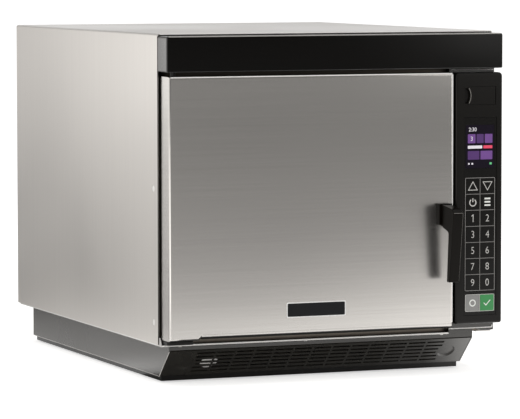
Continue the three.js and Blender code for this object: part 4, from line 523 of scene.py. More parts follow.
# How far the edges of a node are rounded, where they are
KEY_EDGE = 0.25
EDGES = {
    "floor_plate": 0.3, "front_frame": 0.3, "lower_hinge": 0.8, "upper_hinge": 0.5,
    "base_pan": 0.6, "panel_bracket": 0.4, "port_hatch": 0.25, "keypad_overlay": 0.15,
    "cavity_liner": 0.4, "door_latch": 0.5, "door_choke": 0.3,
}
# Plates with many holes keep their own triangles, since one large face with holes shades badly
PIERCED = ("keypad_overlay", "rear_panel", "air_filter", "fan_baffle", "cavity_liner", "door_choke",
           "front_frame", "door_inner_panel", "cooling_blower", "control_board", "base_pan")
for material, names in DRESS.items():
    for name in names:
        node = NODES[name]
        node.data.materials.clear()
        node.data.materials.append(material)
        soften(node, EDGES.get(name, KEY_EDGE if name.startswith("key_") else 0.0), merge=name not in PIERCED)


def second_coat(name, material, chosen):
    """Gives the faces of a node for which chosen is true a second material."""
    mesh = NODES[name].data
    mesh.materials.append(material)
    for face in mesh.polygons:
        if chosen(face):
            face.material_index = 1


# The ends and the top of the hood are smoother than its grained front, and reflect more strongly: a lit copy
# of the moulding that paints their highlight
second_coat("top_trim", HOOD_SIDE_LIT, lambda face: abs(face.normal.y) < 0.75)
# The door's free edge gets a darker copy of the door steel, painted shade on that side
second_coat("door_skin", DOOR_EDGE_SHADED, lambda face: face.normal.x > 0.9)
# The rails under the base pan are a duller black than its pressed sides
RAIL_TOP = 8.0
second_coat("base_pan", RAIL, lambda face: face.center.z < RAIL_TOP * MM)


# Key legends
PROUD = 0.06  # how far a printed sign stands out of the face that carries it
KEY_SUNK = 0.2  # how far a key's sign reaches into the key
PRINT_SUNK = 0.1  # how far a print on the overlay or the display reaches into it


def corners(name):
    """The two corners of a node's box at rest, in millimetres."""
    lo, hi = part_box(name)
    return lo / MM, hi / MM


def middle(name):
    lo, hi = corners(name)
    return (lo.x + hi.x) / 2, (lo.z + hi.z) / 2


def legend_y(key):
    """The front and the rear of the sign on a key."""
    front = corners("key_" + key)[0].y
    return front - PROUD, front + KEY_SUNK


def around(x, z, offsets):
    return [(x + dx, z + dz) for dx, dz in offsets]


DIGIT_HEIGHT, DIGIT_SQUEEZE, DIGIT_WEIGHT = 10.2, 0.86, -0.16
ONE_POINTS, ONE_LINE = ((-2.0, 2.9), (0.5, 4.7), (0.5, -5.1)), 1.0
for key in "1234567890":
    x, z = middle("key_" + key)
    y0, y1 = legend_y(key)
    if key == "1":
        sign = stroke_y("legend_1", around(x, z, ONE_POINTS), ONE_LINE, y0, y1, PRINT)
    else:
        sign = digits_y("legend_" + key, key, x, z, DIGIT_HEIGHT, y0, y1, PRINT, DIGIT_SQUEEZE, DIGIT_WEIGHT)
    on("button_" + key, sign)

ARROW_HALF, ARROW_BASE, ARROW_TIP, ARROW_LINE = 6.7, 5.4, 5.9, 0.85
for key, up in (("up", 1), ("down", -1)):
    x, z = middle("key_" + key)
    y0, y1 = legend_y(key)
    base = -up * ARROW_BASE
    points = around(x, z, ((-ARROW_HALF, base), (ARROW_HALF, base), (0, up * ARROW_TIP)))
    on("button_" + key, stroke_y("legend_" + key, points, ARROW_LINE, y0, y1, PRINT, closed=True))

# A broken ring with a bar in its gap
RING_WIDE, RING_HIGH, RING_DROP, RING_LINE, RING_POINTS = 4.6, 4.7, 0.5, 1.4, 25
RING_START, RING_SWEEP = math.radians(126), math.radians(288)
BAR_HALF, BAR_FOOT, BAR_TOP = 0.65, 0.2, 5.4
x, z = middle("key_power")
y0, y1 = legend_y("power")
arc = ring_points(x, z - RING_DROP, RING_WIDE, RING_HIGH, RING_POINTS, RING_START, RING_SWEEP)
on("button_power",
   stroke_y("legend_power_ring", arc, RING_LINE, y0, y1, PRINT),
   block("legend_power_bar", (x - BAR_HALF, y0, z + BAR_FOOT), (x + BAR_HALF, y1, z + BAR_TOP), PRINT))

# Three bars
MENU_HALF, MENU_BAR_HALF, MENU_PITCH = 4.4, 1.1, 4.5
x, z = middle("key_menu")
y0, y1 = legend_y("menu")
for index in range(3):
    bar_z = z + (index - 1) * MENU_PITCH
    on("button_menu", block(f"legend_menu_{index}", (x - MENU_HALF, y0, bar_z - MENU_BAR_HALF),
                            (x + MENU_HALF, y1, bar_z + MENU_BAR_HALF), WHITE))

STOP_OUTER, STOP_INNER, STOP_POINTS = 4.9, 3.2, 32
x, z = middle("key_stop")
y0, y1 = legend_y("stop")
rings = [ring_points(x, z, radius, radius, STOP_POINTS) for radius in (STOP_OUTER, STOP_INNER)]
on("button_stop", frame_y("legend_stop", *rings, y0, y1, WHITE))

TICK_POINTS, TICK_LINE = ((-4.9, -0.2), (-1.7, -3.5), (4.9, 3.6)), 1.25
x, z = middle("key_start")
y0, y1 = legend_y("start")
on("button_start", stroke_y("legend_start", around(x, z, TICK_POINTS), TICK_LINE, y0, y1, WHITE))

# Printed lines round the keys, on the webs of the overlay
LINE_PROUD, LINE_HALF = 0.05, 0.28
GRID_OUTER_CORNER, GRID_INNER_CORNER = 1.4, 0.8
PAD_OUTWARD, PAD_SETBACK, PAD_LINE_HALF = 0.75, 0.1, 0.35
PAD_OUTER_CORNER, PAD_INNER_CORNER = 1.6, 1.0
overlay_front = corners("keypad_overlay")[0].y
line_y0, line_y1 = overlay_front - LINE_PROUD, overlay_front + PRINT_SUNK


def border(name, x0, x1, z0, z1, outward, inward, outer_corner, inner_corner, material):
    """A printed border round a rectangle, that reaches outward and inward of its edge."""
    outer = rounded_rect(x0 - outward, x1 + outward, z0 - outward, z1 + outward, outer_corner)
    inner = rounded_rect(x0 + inward, x1 - inward, z0 + inward, z1 - inward, inner_corner)
    on("cabinet", frame_y(name, outer, inner, line_y0, line_y1, material))


def line(name, x0, x1, z0, z1, material):
    on("cabinet", block(name, (x0, line_y0, z0), (x1, line_y1, z1), material))


left_lo, left_hi = corners("key_9")
right_lo, right_hi = corners("key_0")
gap = (right_lo.x - left_hi.x) / 2
grid_x0, grid_x1 = left_lo.x - gap, right_hi.x + gap
grid_z0, grid_z1 = left_lo.z - gap, corners("key_up")[1].z + gap
border("grid_border", grid_x0, grid_x1, grid_z0, grid_z1, LINE_HALF, LINE_HALF,
       GRID_OUTER_CORNER, GRID_INNER_CORNER, LINE)
mid_x = (grid_x0 + grid_x1) / 2
line("grid_middle", mid_x - LINE_HALF, mid_x + LINE_HALF, grid_z0, grid_z1, LINE)
for row, key in enumerate(("7", "5", "3", "1", "power", "up")):
    z = corners("key_" + key)[0].z - gap
    line(f"grid_row_{row}", grid_x0, grid_x1, z - LINE_HALF, z + LINE_HALF, LINE)
stop_lo, stop_hi = corners("key_stop")
start_lo, start_hi = corners("key_start")
border("pad_border", stop_lo.x, start_hi.x, stop_lo.z, stop_hi.z, PAD_OUTWARD, -PAD_SETBACK,
       PAD_OUTER_CORNER, PAD_INNER_CORNER, PRINT)
pad_mid = (stop_hi.x + start_lo.x) / 2
line("pad_middle", pad_mid - PAD_LINE_HALF, pad_mid + PAD_LINE_HALF, stop_lo.z, stop_hi.z, PRINT)

# Display picture: plain blocks and digits
screen_lo, screen_hi = corners("display")
screen_w, screen_h = screen_hi.x - screen_lo.x, screen_hi.z - screen_lo.z
screen_y0, screen_y1 = screen_lo.y - PROUD, screen_lo.y + PRINT_SUNK


def on_screen(u, v):
    """A place on the display, from its shares of the width and the height."""
    return screen_lo.x + u * screen_w, screen_lo.z + v * screen_h


# Name, shares at the left, right, foot and top, material, and corner radius
BLOCK_CORNER, DOT_CORNER = 0.8, 0.5
BLOCKS = (
    ("tile_a", 0.07, 0.34, 0.58, 0.79, SCREEN_TILE, BLOCK_CORNER),
    ("tile_b", 0.38, 0.63, 0.58, 0.79, SCREEN_DIM, BLOCK_CORNER),
    ("tile_c", 0.67, 0.94, 0.58, 0.79, SCREEN_TILE, BLOCK_CORNER),
    ("bar", 0.07, 0.58, 0.455, 0.525, SCREEN_WHITE, BLOCK_CORNER),
    ("bar_end", 0.62, 0.94, 0.455, 0.525, SCREEN_RED, BLOCK_CORNER),
    ("tile_d", 0.07, 0.48, 0.20, 0.40, SCREEN_DIM, BLOCK_CORNER),
    ("tile_e", 0.52, 0.94, 0.20, 0.40, SCREEN_TILE, BLOCK_CORNER),
    ("dot_a", 0.08, 0.14, 0.085, 0.125, SCREEN_WHITE, DOT_CORNER),
    ("dot_b", 0.20, 0.26, 0.085, 0.125, SCREEN_WHITE, DOT_CORNER),
    ("dot_c", 0.84, 0.92, 0.08, 0.13, SCREEN_GREEN, DOT_CORNER),
)
for name, left, right, foot, top, material, corner in BLOCKS:
    (x0, z0), (x1, z1) = on_screen(left, foot), on_screen(right, top)
    outline = rounded_rect(x0, x1, z0, z1, corner)
    on("cabinet", prism_y("screen_" + name, outline, screen_y0, screen_y1, material))
TIME_PLACE, TIME_HEIGHT, TIME_WEIGHT = (0.24, 0.90), 5.4, 0.05
COUNT_PLACE, COUNT_HEIGHT, COUNT_PROUD = (0.205, 0.685), 6.0, 0.03
SCREEN_SQUEEZE = 0.95
on("cabinet",
   digits_y("screen_time", "2:30", *on_screen(*TIME_PLACE), TIME_HEIGHT, screen_y0, screen_y1, SCREEN_WHITE,
            SCREEN_SQUEEZE, TIME_WEIGHT),
   digits_y("screen_count", "3", *on_screen(*COUNT_PLACE), COUNT_HEIGHT, screen_y0 - COUNT_PROUD, screen_y1,
            SCREEN_WHITE, SCREEN_SQUEEZE))

# Door: bare badge plate
BADGE_LEFT, BADGE_RIGHT, BADGE_FOOT, BADGE_TOP = -74.6, 11.6, 86.4, 107.2
BADGE_CORNER, RIM_CORNER, RIM_WIDTH = 1.6, 2.6, 1.5
PLATE_PROUD, RIM_PROUD, PLATE_ROUND, FACE_GAP = 0.55, 0.75, 0.1, 0.02
door_lo, door_hi = corners("door_skin")
badge_rear = door_lo.y - FACE_GAP
badge_outer = rounded_rect(BADGE_LEFT, BADGE_RIGHT, BADGE_FOOT, BADGE_TOP, RIM_CORNER)
badge_inner = rounded_rect(BADGE_LEFT + RIM_WIDTH, BADGE_RIGHT - RIM_WIDTH, BADGE_FOOT + RIM_WIDTH,
                           BADGE_TOP - RIM_WIDTH, BADGE_CORNER)
on("door",
   prism_y("badge_plate", badge_inner, door_lo.y - PLATE_PROUD, badge_rear, BADGE, PLATE_ROUND),
   frame_y("badge_rim", badge_outer, badge_inner, door_lo.y - RIM_PROUD, badge_rear, RIM))

# Screws: flat heads in shallow pockets, along the front of the wrap's two sides, in a pale colour painted as
# their glint
SIDE_SETBACK, SIDE_HEIGHTS = 16, (82.8, 260.8)
POCKET_RADIUS, POCKET_DEPTH = 4.6, 0.7
SIDE_RADIUS, SIDE_HEAD, SIDE_ROUND, SIDE_DEPTH = 4.3, 0.62, 0.3, 0.69
wrap_lo, wrap_hi = corners("outer_wrap")
side_screws = [((x, wrap_lo.y + SIDE_SETBACK, z), (math.copysign(1, x), 0, 0))
               for x in (wrap_lo.x, wrap_hi.x) for z in SIDE_HEIGHTS]
wrap = pocketed("outer_wrap", side_screws, POCKET_RADIUS, POCKET_DEPTH)
wrap.data.materials.clear()
wrap.data.materials.append(WRAP)
modifier(wrap, "EDGE_SPLIT", "split", split_angle=CREASE)
even_normals(wrap)
for index, (centre, axis) in enumerate(side_screws):
    seat = Vector(centre) - Vector(axis) * SIDE_DEPTH
    on("cabinet", disc(f"screw_side_{index}", seat, SIDE_RADIUS, SIDE_HEAD, axis, PALE_HIGHLIGHT, SIDE_ROUND))

# Screws: socket heads round the rear panel, except where its louvres are; each socket is a flat dark hexagon,
# painted shade for the hole
REAR_COLUMNS, REAR_ROWS = (-228, -76, 76, 228), (68, 252, 450)
REAR_RADIUS, REAR_HEAD, REAR_ROUND, REAR_SUNK = 3.2, 0.5, 0.25, 0.05
SOCKET_RADIUS, SOCKET_DEPTH, SOCKET_SUNK, SOCKET_SIDES = REAR_RADIUS * 0.42, 0.1, 0.05, 6
REARWARD = (0, 1, 0)
rear_y = corners("rear_panel")[1].y - REAR_SUNK
socket_y = rear_y + REAR_HEAD - SOCKET_SUNK
for index, (x, z) in enumerate([(x, z) for z in REAR_ROWS for x in REAR_COLUMNS]):
    if z == REAR_ROWS[1] and x in REAR_COLUMNS[1:3]:
        continue
    name = f"screw_rear_{index}"
    on("cabinet",
       disc(name, (x, rear_y, z), REAR_RADIUS, REAR_HEAD, REARWARD, SCREW, REAR_ROUND),
       disc(name + "_socket", (x, socket_y, z), SOCKET_RADIUS, SOCKET_DEPTH, REARWARD, SOCKET_SHADE,
            sides=SOCKET_SIDES))


# Pale beads along the cut and folded edges of the sheets, painted as the highlights these edges catch

def bead(body, name, start, end, radius, material):
    on(body, wire(name, [start, end], radius, material))


# Over the wrap's two top bends a pale bead, painted as their highlight; down its front edges a black bead,
# painted as the shade in the gap beside the door
WRAP_BEAD, WRAP_BEND, WRAP_SETBACK, WRAP_STEPS = 0.5, 3.0, 0.3, 5
EDGE_SHADE, EDGE_SHADE_FOOT = 0.7, 0.4
x0, x1, z1 = wrap_lo.x + WRAP_BEAD, wrap_hi.x - WRAP_BEAD, wrap_hi.z - WRAP_BEAD
rim_y = wrap_lo.y + WRAP_SETBACK
turns = [math.pi / 2 * step / WRAP_STEPS for step in range(WRAP_STEPS + 1)]
rim = [(x0 + WRAP_BEND - WRAP_BEND * math.cos(a), z1 - WRAP_BEND + WRAP_BEND * math.sin(a)) for a in turns]
rim += [(x1 - WRAP_BEND + WRAP_BEND * math.sin(a), z1 - WRAP_BEND + WRAP_BEND * math.cos(a)) for a in turns]
on("cabinet", wire("wrap_rim", [(x, rim_y, z) for x, z in rim], WRAP_BEAD, EDGE))
for side, x in ((-1, wrap_lo.x + EDGE_SHADE), (1, wrap_hi.x - EDGE_SHADE)):
    bead("cabinet", f"wrap_edge_shade_{side}", (x, rim_y, wrap_lo.z + EDGE_SHADE_FOOT), (x, rim_y, z1 - WRAP_BEND),
         EDGE_SHADE, BLACK)

# Behind the hood, along the front edge of the wrap's top: a pale bead, painted as that edge's highlight
TOP_HEM, TOP_HEM_INSET, TOP_HEM_FORWARD, TOP_HEM_DROP = 0.8, 4, 0.35, 0.85
y, z = wrap_lo.y - TOP_HEM_FORWARD, wrap_hi.z - TOP_HEM_DROP
bead("cabinet", "wrap_hem", (wrap_lo.x + TOP_HEM_INSET, y, z), (wrap_hi.x - TOP_HEM_INSET, y, z),
     TOP_HEM, PALE_HIGHLIGHT)

# Along the door's top and down its free side: pale beads, painted as the highlights of its rounded edges
DOOR_BEAD, DOOR_BEAD_SETBACK, DOOR_BEAD_DROP, DOOR_BEAD_LEFT, DOOR_BEAD_RIGHT = 0.8, 0.95, 0.85, 3, 1.6
FREE_BEAD, FREE_BEAD_SETBACK, FREE_BEAD_FOOT, FREE_BEAD_TOP = 0.85, 0.9, 9.5, 2
y, z = door_lo.y + DOOR_BEAD_SETBACK, door_hi.z - DOOR_BEAD_DROP
bead("door", "door_top_bead", (door_lo.x + DOOR_BEAD_LEFT, y, z), (door_hi.x - DOOR_BEAD_RIGHT, y, z),
     DOOR_BEAD, PALE_HIGHLIGHT)
x, y = door_hi.x - FREE_BEAD, door_lo.y + FREE_BEAD_SETBACK
bead("door", "door_right_bead", (x, y, door_lo.z + FREE_BEAD_FOOT), (x, y, door_hi.z - FREE_BEAD_TOP),
     FREE_BEAD, PALE_HIGHLIGHT)

# The door's rolled hem, with a black strip under it, painted as the shadow below the hem
HEM_LEFT, HEM_RIGHT, HEM_FOOT, HEM_TOP, HEM_ROUND, HEM_STEPS = -195.6, 169.0, 65.3, 71.0, 1.5, 4
HEM_FRONT, HEM_REAR = door_lo.y + 0.05, door_lo.y + 4.5
HEM_SHADOW_LEFT, HEM_SHADOW_RIGHT, HEM_SHADOW_FOOT, HEM_SHADOW_TOP, HEM_SHADOW_ROUND = -193.0, 168.0, 62.6, 67.2, 0.5
HEM_SHADOW_FRONT, HEM_SHADOW_REAR = door_lo.y + 5.5, door_lo.y + 13.5
on("door",
   block("door_hem", (HEM_LEFT, HEM_FRONT, HEM_FOOT), (HEM_RIGHT, HEM_REAR, HEM_TOP), DOOR,
         HEM_ROUND, HEM_STEPS),
   block("door_hem_shadow", (HEM_SHADOW_LEFT, HEM_SHADOW_FRONT, HEM_SHADOW_FOOT), (HEM_SHADOW_RIGHT, HEM_SHADOW_REAR, HEM_SHADOW_TOP), HOOD,
         HEM_SHADOW_ROUND))

# The upper edge of the hood: a lighter bead, painted as the highlight along it
HOOD_BEAD, HOOD_BEAD_INSET, HOOD_BEAD_DEPTH = 1.1, 3, 1.15
hood_lo, hood_hi = corners("top_trim")
y, z = hood_lo.y + HOOD_BEAD_DEPTH, hood_hi.z - HOOD_BEAD_DEPTH
bead("cabinet", "hood_top_highlight", (hood_lo.x + HOOD_BEAD_INSET, y, z), (hood_hi.x - HOOD_BEAD_INSET, y, z),
     HOOD_BEAD, HOOD_HIGHLIGHT)

# Under the wrap's two sides: pale beads, painted as the highlight along their foot
FOOT_BEAD, FOOT_BEAD_FRONT, FOOT_BEAD_REAR, FOOT_BEAD_DROP = 0.6, 1, 14, 0.1
for side in (-1, 1):
    x, z = math.copysign(wrap_hi.x - FOOT_BEAD, side), wrap_lo.z - FOOT_BEAD_DROP
    front, rear = wrap_lo.y + FOOT_BEAD_FRONT, wrap_hi.y - FOOT_BEAD_REAR
    bead("cabinet", f"wrap_foot_{side}", (x, front, z), (x, rear, z), FOOT_BEAD, EDGE)

# Painted highlights along the grip's edges: round its flat front, from the nose to the tip
GRIP_BEAD, GRIP_INSET_LEFT, GRIP_INSET_RIGHT = 0.5, 3.0, 1.45
grip_lo, grip_hi = corners("door_handle")
grip_x0, grip_x1 = grip_lo.x + GRIP_INSET_LEFT, grip_hi.x - GRIP_INSET_RIGHT
nose_y, nose_z = grip_lo.y + 0.6, grip_hi.z - 10.4
tip_y, tip_z = grip_lo.y + 13.3, grip_lo.z + 0.8
grip_line = [(grip_x0 + 1, nose_y, nose_z), (grip_x1 - 0.9, nose_y, nose_z),
             (grip_x1, nose_y + 0.1, nose_z - 1.0), (grip_x1, tip_y - 0.2, tip_z + 1.4),
             (grip_x1 - 0.5, tip_y, tip_z), (grip_x0 + 3, tip_y, tip_z)]
on("door", wire("grip_edge_highlight", grip_line, GRIP_BEAD, EDGE_GLINT))

# A painted highlight along the lip of the hatch's fingernail cut
LIP_BEAD, LIP_LEFT, LIP_BULGE, LIP_HALF, LIP_SETBACK = 0.55, 0.9, 3.3, 10.8, 0.1
LIP_TURN, LIP_STEPS = math.radians(72), 16
hatch_lo, hatch_hi = corners("port_hatch")
hatch_z = (hatch_lo.z + hatch_hi.z) / 2
turns = [LIP_TURN * (2 * step / LIP_STEPS - 1) for step in range(LIP_STEPS + 1)]
x, y = hatch_lo.x + LIP_LEFT, hatch_lo.y + LIP_SETBACK
lip = [(x + LIP_BULGE * math.cos(a) ** 2, y, hatch_z + LIP_HALF * math.sin(a)) for a in turns]
on("hatch", wire("hatch_lip_highlight", lip, LIP_BEAD, EDGE_GLINT))

# Painted highlights along the base pan's left folds: along its slope and along its foot
PAN_BEAD, PAN_INSET = 0.5, 0.4
SLOPE_FORWARD, SLOPE_TOP, SLOPE_FOOT = 0.1, 45.7, (-231.1, 8.5)
PAN_HEM_FRONT, PAN_HEM_REAR, PAN_HEM_HEIGHT = -230.8, 0.5, 8.9
pan_lo, pan_hi = corners("base_pan")
x = pan_lo.x + PAN_INSET
bead("cabinet", "pan_fold", (x, pan_lo.y - SLOPE_FORWARD, SLOPE_TOP), (x, *SLOPE_FOOT), PAN_BEAD, FOLD_HIGHLIGHT)
bead("cabinet", "pan_hem", (x, PAN_HEM_FRONT, PAN_HEM_HEIGHT), (x, pan_hi.y - PAN_HEM_REAR, PAN_HEM_HEIGHT),
     PAN_BEAD, FOLD_HIGHLIGHT)

# The sheet edges above and under the control panel, the lower one turned up at its right end, drawn pale as
# their painted highlights
UPPER_BEAD, UPPER_DROP, UPPER_SETBACK, UPPER_LEFT, UPPER_RIGHT = 0.6, 2.3, 0.3, 178, 241.5
LOWER_LINE, LOWER_INSET, LOWER_FORWARD, LOWER_SUNK = 1.3, 0.4, 0.5, 0.4
LOWER_TURN = ((239.4, 59.0), (240.6, 60.0), (240.6, 62.2))
bracket_lo, bracket_hi = corners("panel_bracket")
y, z = bracket_lo.y + UPPER_SETBACK, bracket_hi.z - UPPER_DROP
bead("cabinet", "bracket_rim", (UPPER_LEFT, y, z), (UPPER_RIGHT, y, z), UPPER_BEAD, PALE_HIGHLIGHT)
lower = [(bracket_lo.x + LOWER_INSET, LOWER_TURN[0][1]), *LOWER_TURN]
y0, y1 = bracket_lo.y - LOWER_FORWARD, bracket_lo.y + LOWER_SUNK
on("cabinet", stroke_y("panel_lip", lower, LOWER_LINE, y0, y1, PALE_HIGHLIGHT))

# The front edge of the floor plate, with three pressed dimples, drawn pale as their painted highlights
STRIP_INSET, STRIP_RIGHT, STRIP_FOOT, STRIP_TOP = 0.4, 174.0, 52.6, 54.7
STRIP_FORWARD, STRIP_SUNK, STRIP_ROUND = 0.3, 0.5, 0.3
DIMPLES, DIMPLE_RADIUS, DIMPLE_HEIGHT, DIMPLE_FOOT, DIMPLE_ROUND = (-217, -37, 164), 3.2, 1.1, 51.4, 0.5
floor_lo = corners("floor_plate")[0]
on("cabinet", block("floor_lip", (floor_lo.x + STRIP_INSET, floor_lo.y - STRIP_FORWARD, STRIP_FOOT),
                    (STRIP_RIGHT, floor_lo.y + STRIP_SUNK, STRIP_TOP), PALE_HIGHLIGHT, STRIP_ROUND))
for index, x in enumerate(DIMPLES):
    place = (x, floor_lo.y + DIMPLE_RADIUS, DIMPLE_FOOT)
    on("cabinet", disc(f"lip_dimple_{index}", place, DIMPLE_RADIUS, DIMPLE_HEIGHT, (0, 0, 1), EDGE,
                       DIMPLE_ROUND))

# A pale disc behind the filter slots, painted bright so that it shows through them as glints
GLINT_PLACE, GLINT_RADIUS, GLINT_DEPTH, GLINT_ROUND = (-168.6, -248.4, 27.6), 12.0, 1.2, 0.3
GLINT_AXIS = Vector((0, -0.675, -0.738)).normalized()
on("filter", disc("filter_glint_disc", GLINT_PLACE, GLINT_RADIUS, GLINT_DEPTH, GLINT_AXIS, PALE_HIGHLIGHT, GLINT_ROUND))

# World and floor
WHITE_LIGHT = (1, 1, 1, 1)
DAYLIGHT, DAYLIGHT_LEVEL = (1.0, 0.985, 0.965, 1), 0.62
FLOOR_COLOR, FLOOR_GLOW, FLOOR_REACH = (0.93, 0.93, 0.93, 1), 0.55, 90000


def shown_ray(tree):
    """1 for rays from the camera, in reflections and through glass, and 0 for those that light the object."""
    path = tree.nodes.new("ShaderNodeLightPath")
    total = path.outputs["Is Camera Ray"]
    for kind in ("Is Glossy Ray", "Is Transmission Ray"):
        add = tree.nodes.new("ShaderNodeMath")
        add.operation = "ADD"
        add.use_clamp = True
        tree.links.new(total, add.inputs[0])
        tree.links.new(path.outputs[kind], add.inputs[1])
        total = add.outputs[0]
    return total


def pick_shown(tree, lighting, shown, output):
    """Links one shader for the light on the object, and another for what is seen."""
    mix = tree.nodes.new("ShaderNodeMixShader")
    tree.links.new(shown_ray(tree), mix.inputs["Fac"])
    tree.links.new(lighting.outputs[0], mix.inputs[1])
    tree.links.new(shown.outputs[0], mix.inputs[2])
    tree.links.new(mix.outputs[0], tree.nodes.new(output).inputs["Surface"])


def glowing(tree, kind, color, strength):
    node = tree.nodes.new(kind)
    node.inputs["Color"].default_value = color
    node.inputs["Strength"].default_value = strength
    return node


world = bpy.data.worlds.new("studio")
SCENE.world = world
world.use_nodes = True
tree = world.node_tree
tree.nodes.clear()
pick_shown(tree, glowing(tree, "ShaderNodeBackground", DAYLIGHT, DAYLIGHT_LEVEL),
           glowing(tree, "ShaderNodeBackground", WHITE_LIGHT, 1.0), "ShaderNodeOutputWorld")

floor_mat = bpy.data.materials.new("floor")
floor_mat.use_nodes = True
tree = floor_mat.node_tree
tree.nodes.clear()
matte = tree.nodes.new("ShaderNodeBsdfDiffuse")
matte.inputs["Color"].default_value = FLOOR_COLOR
lifted = tree.nodes.new("ShaderNodeAddShader")
tree.links.new(matte.outputs[0], lifted.inputs[0])
tree.links.new(glowing(tree, "ShaderNodeEmission", WHITE_LIGHT, FLOOR_GLOW).outputs[0], lifted.inputs[1])
pick_shown(tree, matte, lifted, "ShaderNodeOutputMaterial")
floor_corners = [(x * FLOOR_REACH, y * FLOOR_REACH, 0) for x, y in ((-1, -1), (1, -1), (1, 1), (-1, 1))]
floor = mesh_from("floor", floor_corners, [(0, 1, 2, 3)], floor_mat)


# Cards, seen only in reflections
CARD_LIGHT = (1.0, 0.983, 0.962, 1)
ACROSS, UP = (1, 0), (0, 1)


def card(name, corner, across, up, peak, base, extra=()):
    """A soft card: a quad from a corner along two edges, in metres.

    Each field is (weights, stops): the weights take the metres along the two edges to a place, and the
    stops give the brightness there, none above peak. Base fields multiply, and extra ones add.
    """
    width, height = Vector(across).length, Vector(up).length
    mesh = bpy.data.meshes.new(name)
    mesh.from_pydata([(0, 0, 0), (width, 0, 0), (width, height, 0), (0, height, 0)], [], [(0, 1, 2, 3)])
    mat = bpy.data.materials.new(name)
    mat.use_nodes = True
    tree = mat.node_tree
    tree.nodes.clear()
    coord = tree.nodes.new("ShaderNodeTexCoord")

    def field(weights, stops):
        low, high = stops[0][0], stops[-1][0]
        dot = tree.nodes.new("ShaderNodeVectorMath")
        dot.operation = "DOT_PRODUCT"
        dot.inputs[1].default_value = (*weights, 0)
        tree.links.new(coord.outputs["Object"], dot.inputs[0])
        span = tree.nodes.new("ShaderNodeMapRange")
        span.inputs["From Min"].default_value = low
        span.inputs["From Max"].default_value = high
        tree.links.new(dot.outputs["Value"], span.inputs["Value"])
        ramp = tree.nodes.new("ShaderNodeValToRGB")
        elements = ramp.color_ramp.elements
        while len(elements) > 1:
            elements.remove(elements[-1])
        for index, (place, value) in enumerate(stops):
            share = (place - low) / (high - low)
            element = elements[0] if index == 0 else elements.new(share)
            element.position = share
            element.color = (value / peak, value / peak, value / peak, 1)
        tree.links.new(span.outputs["Result"], ramp.inputs["Fac"])
        times = tree.nodes.new("ShaderNodeMath")
        times.operation = "MULTIPLY"
        times.inputs[1].default_value = peak
        tree.links.new(ramp.outputs["Color"], times.inputs[0])
        return times.outputs[0]

    total = None
    for fields, operation in ((base, "MULTIPLY"), (extra, "ADD")):
        for weights, stops in fields:
            value = field(weights, stops)
            if total is None:
                total = value
                continue
            join = tree.nodes.new("ShaderNodeMath")
            join.operation = operation
            tree.links.new(total, join.inputs[0])
            tree.links.new(value, join.inputs[1])
            total = join.outputs[0]
    glow = glowing(tree, "ShaderNodeEmission", CARD_LIGHT, 1.0)
    tree.links.new(total, glow.inputs["Strength"])
    tree.links.new(glow.outputs[0], tree.nodes.new("ShaderNodeOutputMaterial").inputs["Surface"])
    obj = link(name, mesh, mat)
    x_axis, y_axis = Vector(across).normalized(), Vector(up).normalized()
    turn = Matrix((x_axis, y_axis, x_axis.cross(y_axis))).transposed().to_4x4()
    obj.matrix_world = Matrix.Translation(corner) @ turn
    obj.visible_camera = False
    obj.visible_diffuse = False
    obj.visible_shadow = False
    obj.visible_transmission = False


FRONT_Y, LEFT_X = -0.80, -0.60  # the planes of the large cards in front and at the left
# Heights of an upright card's foot, of the front card's top, and of a card that lies on the floor
CARD_FOOT, FRONT_TOP, ON_FLOOR = 0.003, 0.563, 0.0025
# In front of the door: bright low down, where the pale floor would show, and dim above
card("front_card", (LEFT_X, FRONT_Y, CARD_FOOT), (2.8, 0, 0), (0, 0, 0.56), 2.0,
     [(UP, [(0.0, 1.05), (0.015, 0.87), (0.038, 0.67), (0.065, 0.575), (0.096, 0.50), (0.154, 0.405),
            (0.21, 0.375), (0.272, 0.32), (0.328, 0.30), (0.36, 0.33), (0.39, 0.37), (0.42, 0.30),
            (0.46, 0.20), (0.5, 0.12), (0.56, 0.12)])],
     [(ACROSS, [(0.0, 1.75), (0.22, 1.75), (0.31, 0.0), (2.8, 0.0)]),
      ((0.4, -1), [(-1.4, 0.0), (0.19, 0.0), (0.215, 0.03), (0.27, 0.08), (0.33, 0.27), (0.37, 0.42),
                   (0.6, 0.5)])])
# Above it: what the top shows from behind
card("front_high", (LEFT_X, FRONT_Y, FRONT_TOP), (2.8, 0, 0), (0, 0, 0.84), 2.0,
     [(UP, [(0.0, 0.16), (0.1, 0.4), (0.3, 0.75), (0.84, 0.9)])])
# On the floor in front: what the foot of the door shows
card("front_floor", (-0.5, FRONT_Y, ON_FLOOR), (1.7, 0, 0), (0, 0.26, 0), 2.0,
     [(ACROSS, [(0.0, 1.1), (0.45, 1.2), (0.9, 1.55), (1.7, 1.6)])])
# A bright patch for the right end of the hood
card("hood_glow", (0.22, -0.79, 0.425), (0.45, 0, 0), (0, 0, 0.13), 3.0,
     [(ACROSS, [(0.0, 0.28), (0.06, 0.4), (0.12, 0.7), (0.18, 1.3), (0.23, 2.2), (0.45, 2.6)])])
# At the left: brighter to the front and toward the top, for the long side
card("side_card", (LEFT_X, -0.30, CARD_FOOT), (0, 3.0, 0), (0, 0, 1.3), 2.2,
     [(ACROSS, [(0.0, 1.3), (0.5, 1.3), (0.7, 1.28), (0.78, 1.22), (0.9, 1.16), (1.0, 1.13), (1.17, 1.06),
                (1.34, 0.89), (1.5, 0.70), (1.7, 0.62), (3.0, 0.60)]),
      (UP, [(0.0, 0.34), (0.06, 0.375), (0.12, 0.49), (0.20, 0.66), (0.28, 0.82), (0.36, 0.94), (0.45, 1.03),
            (0.53, 1.0), (0.64, 0.65), (1.3, 0.55)])])
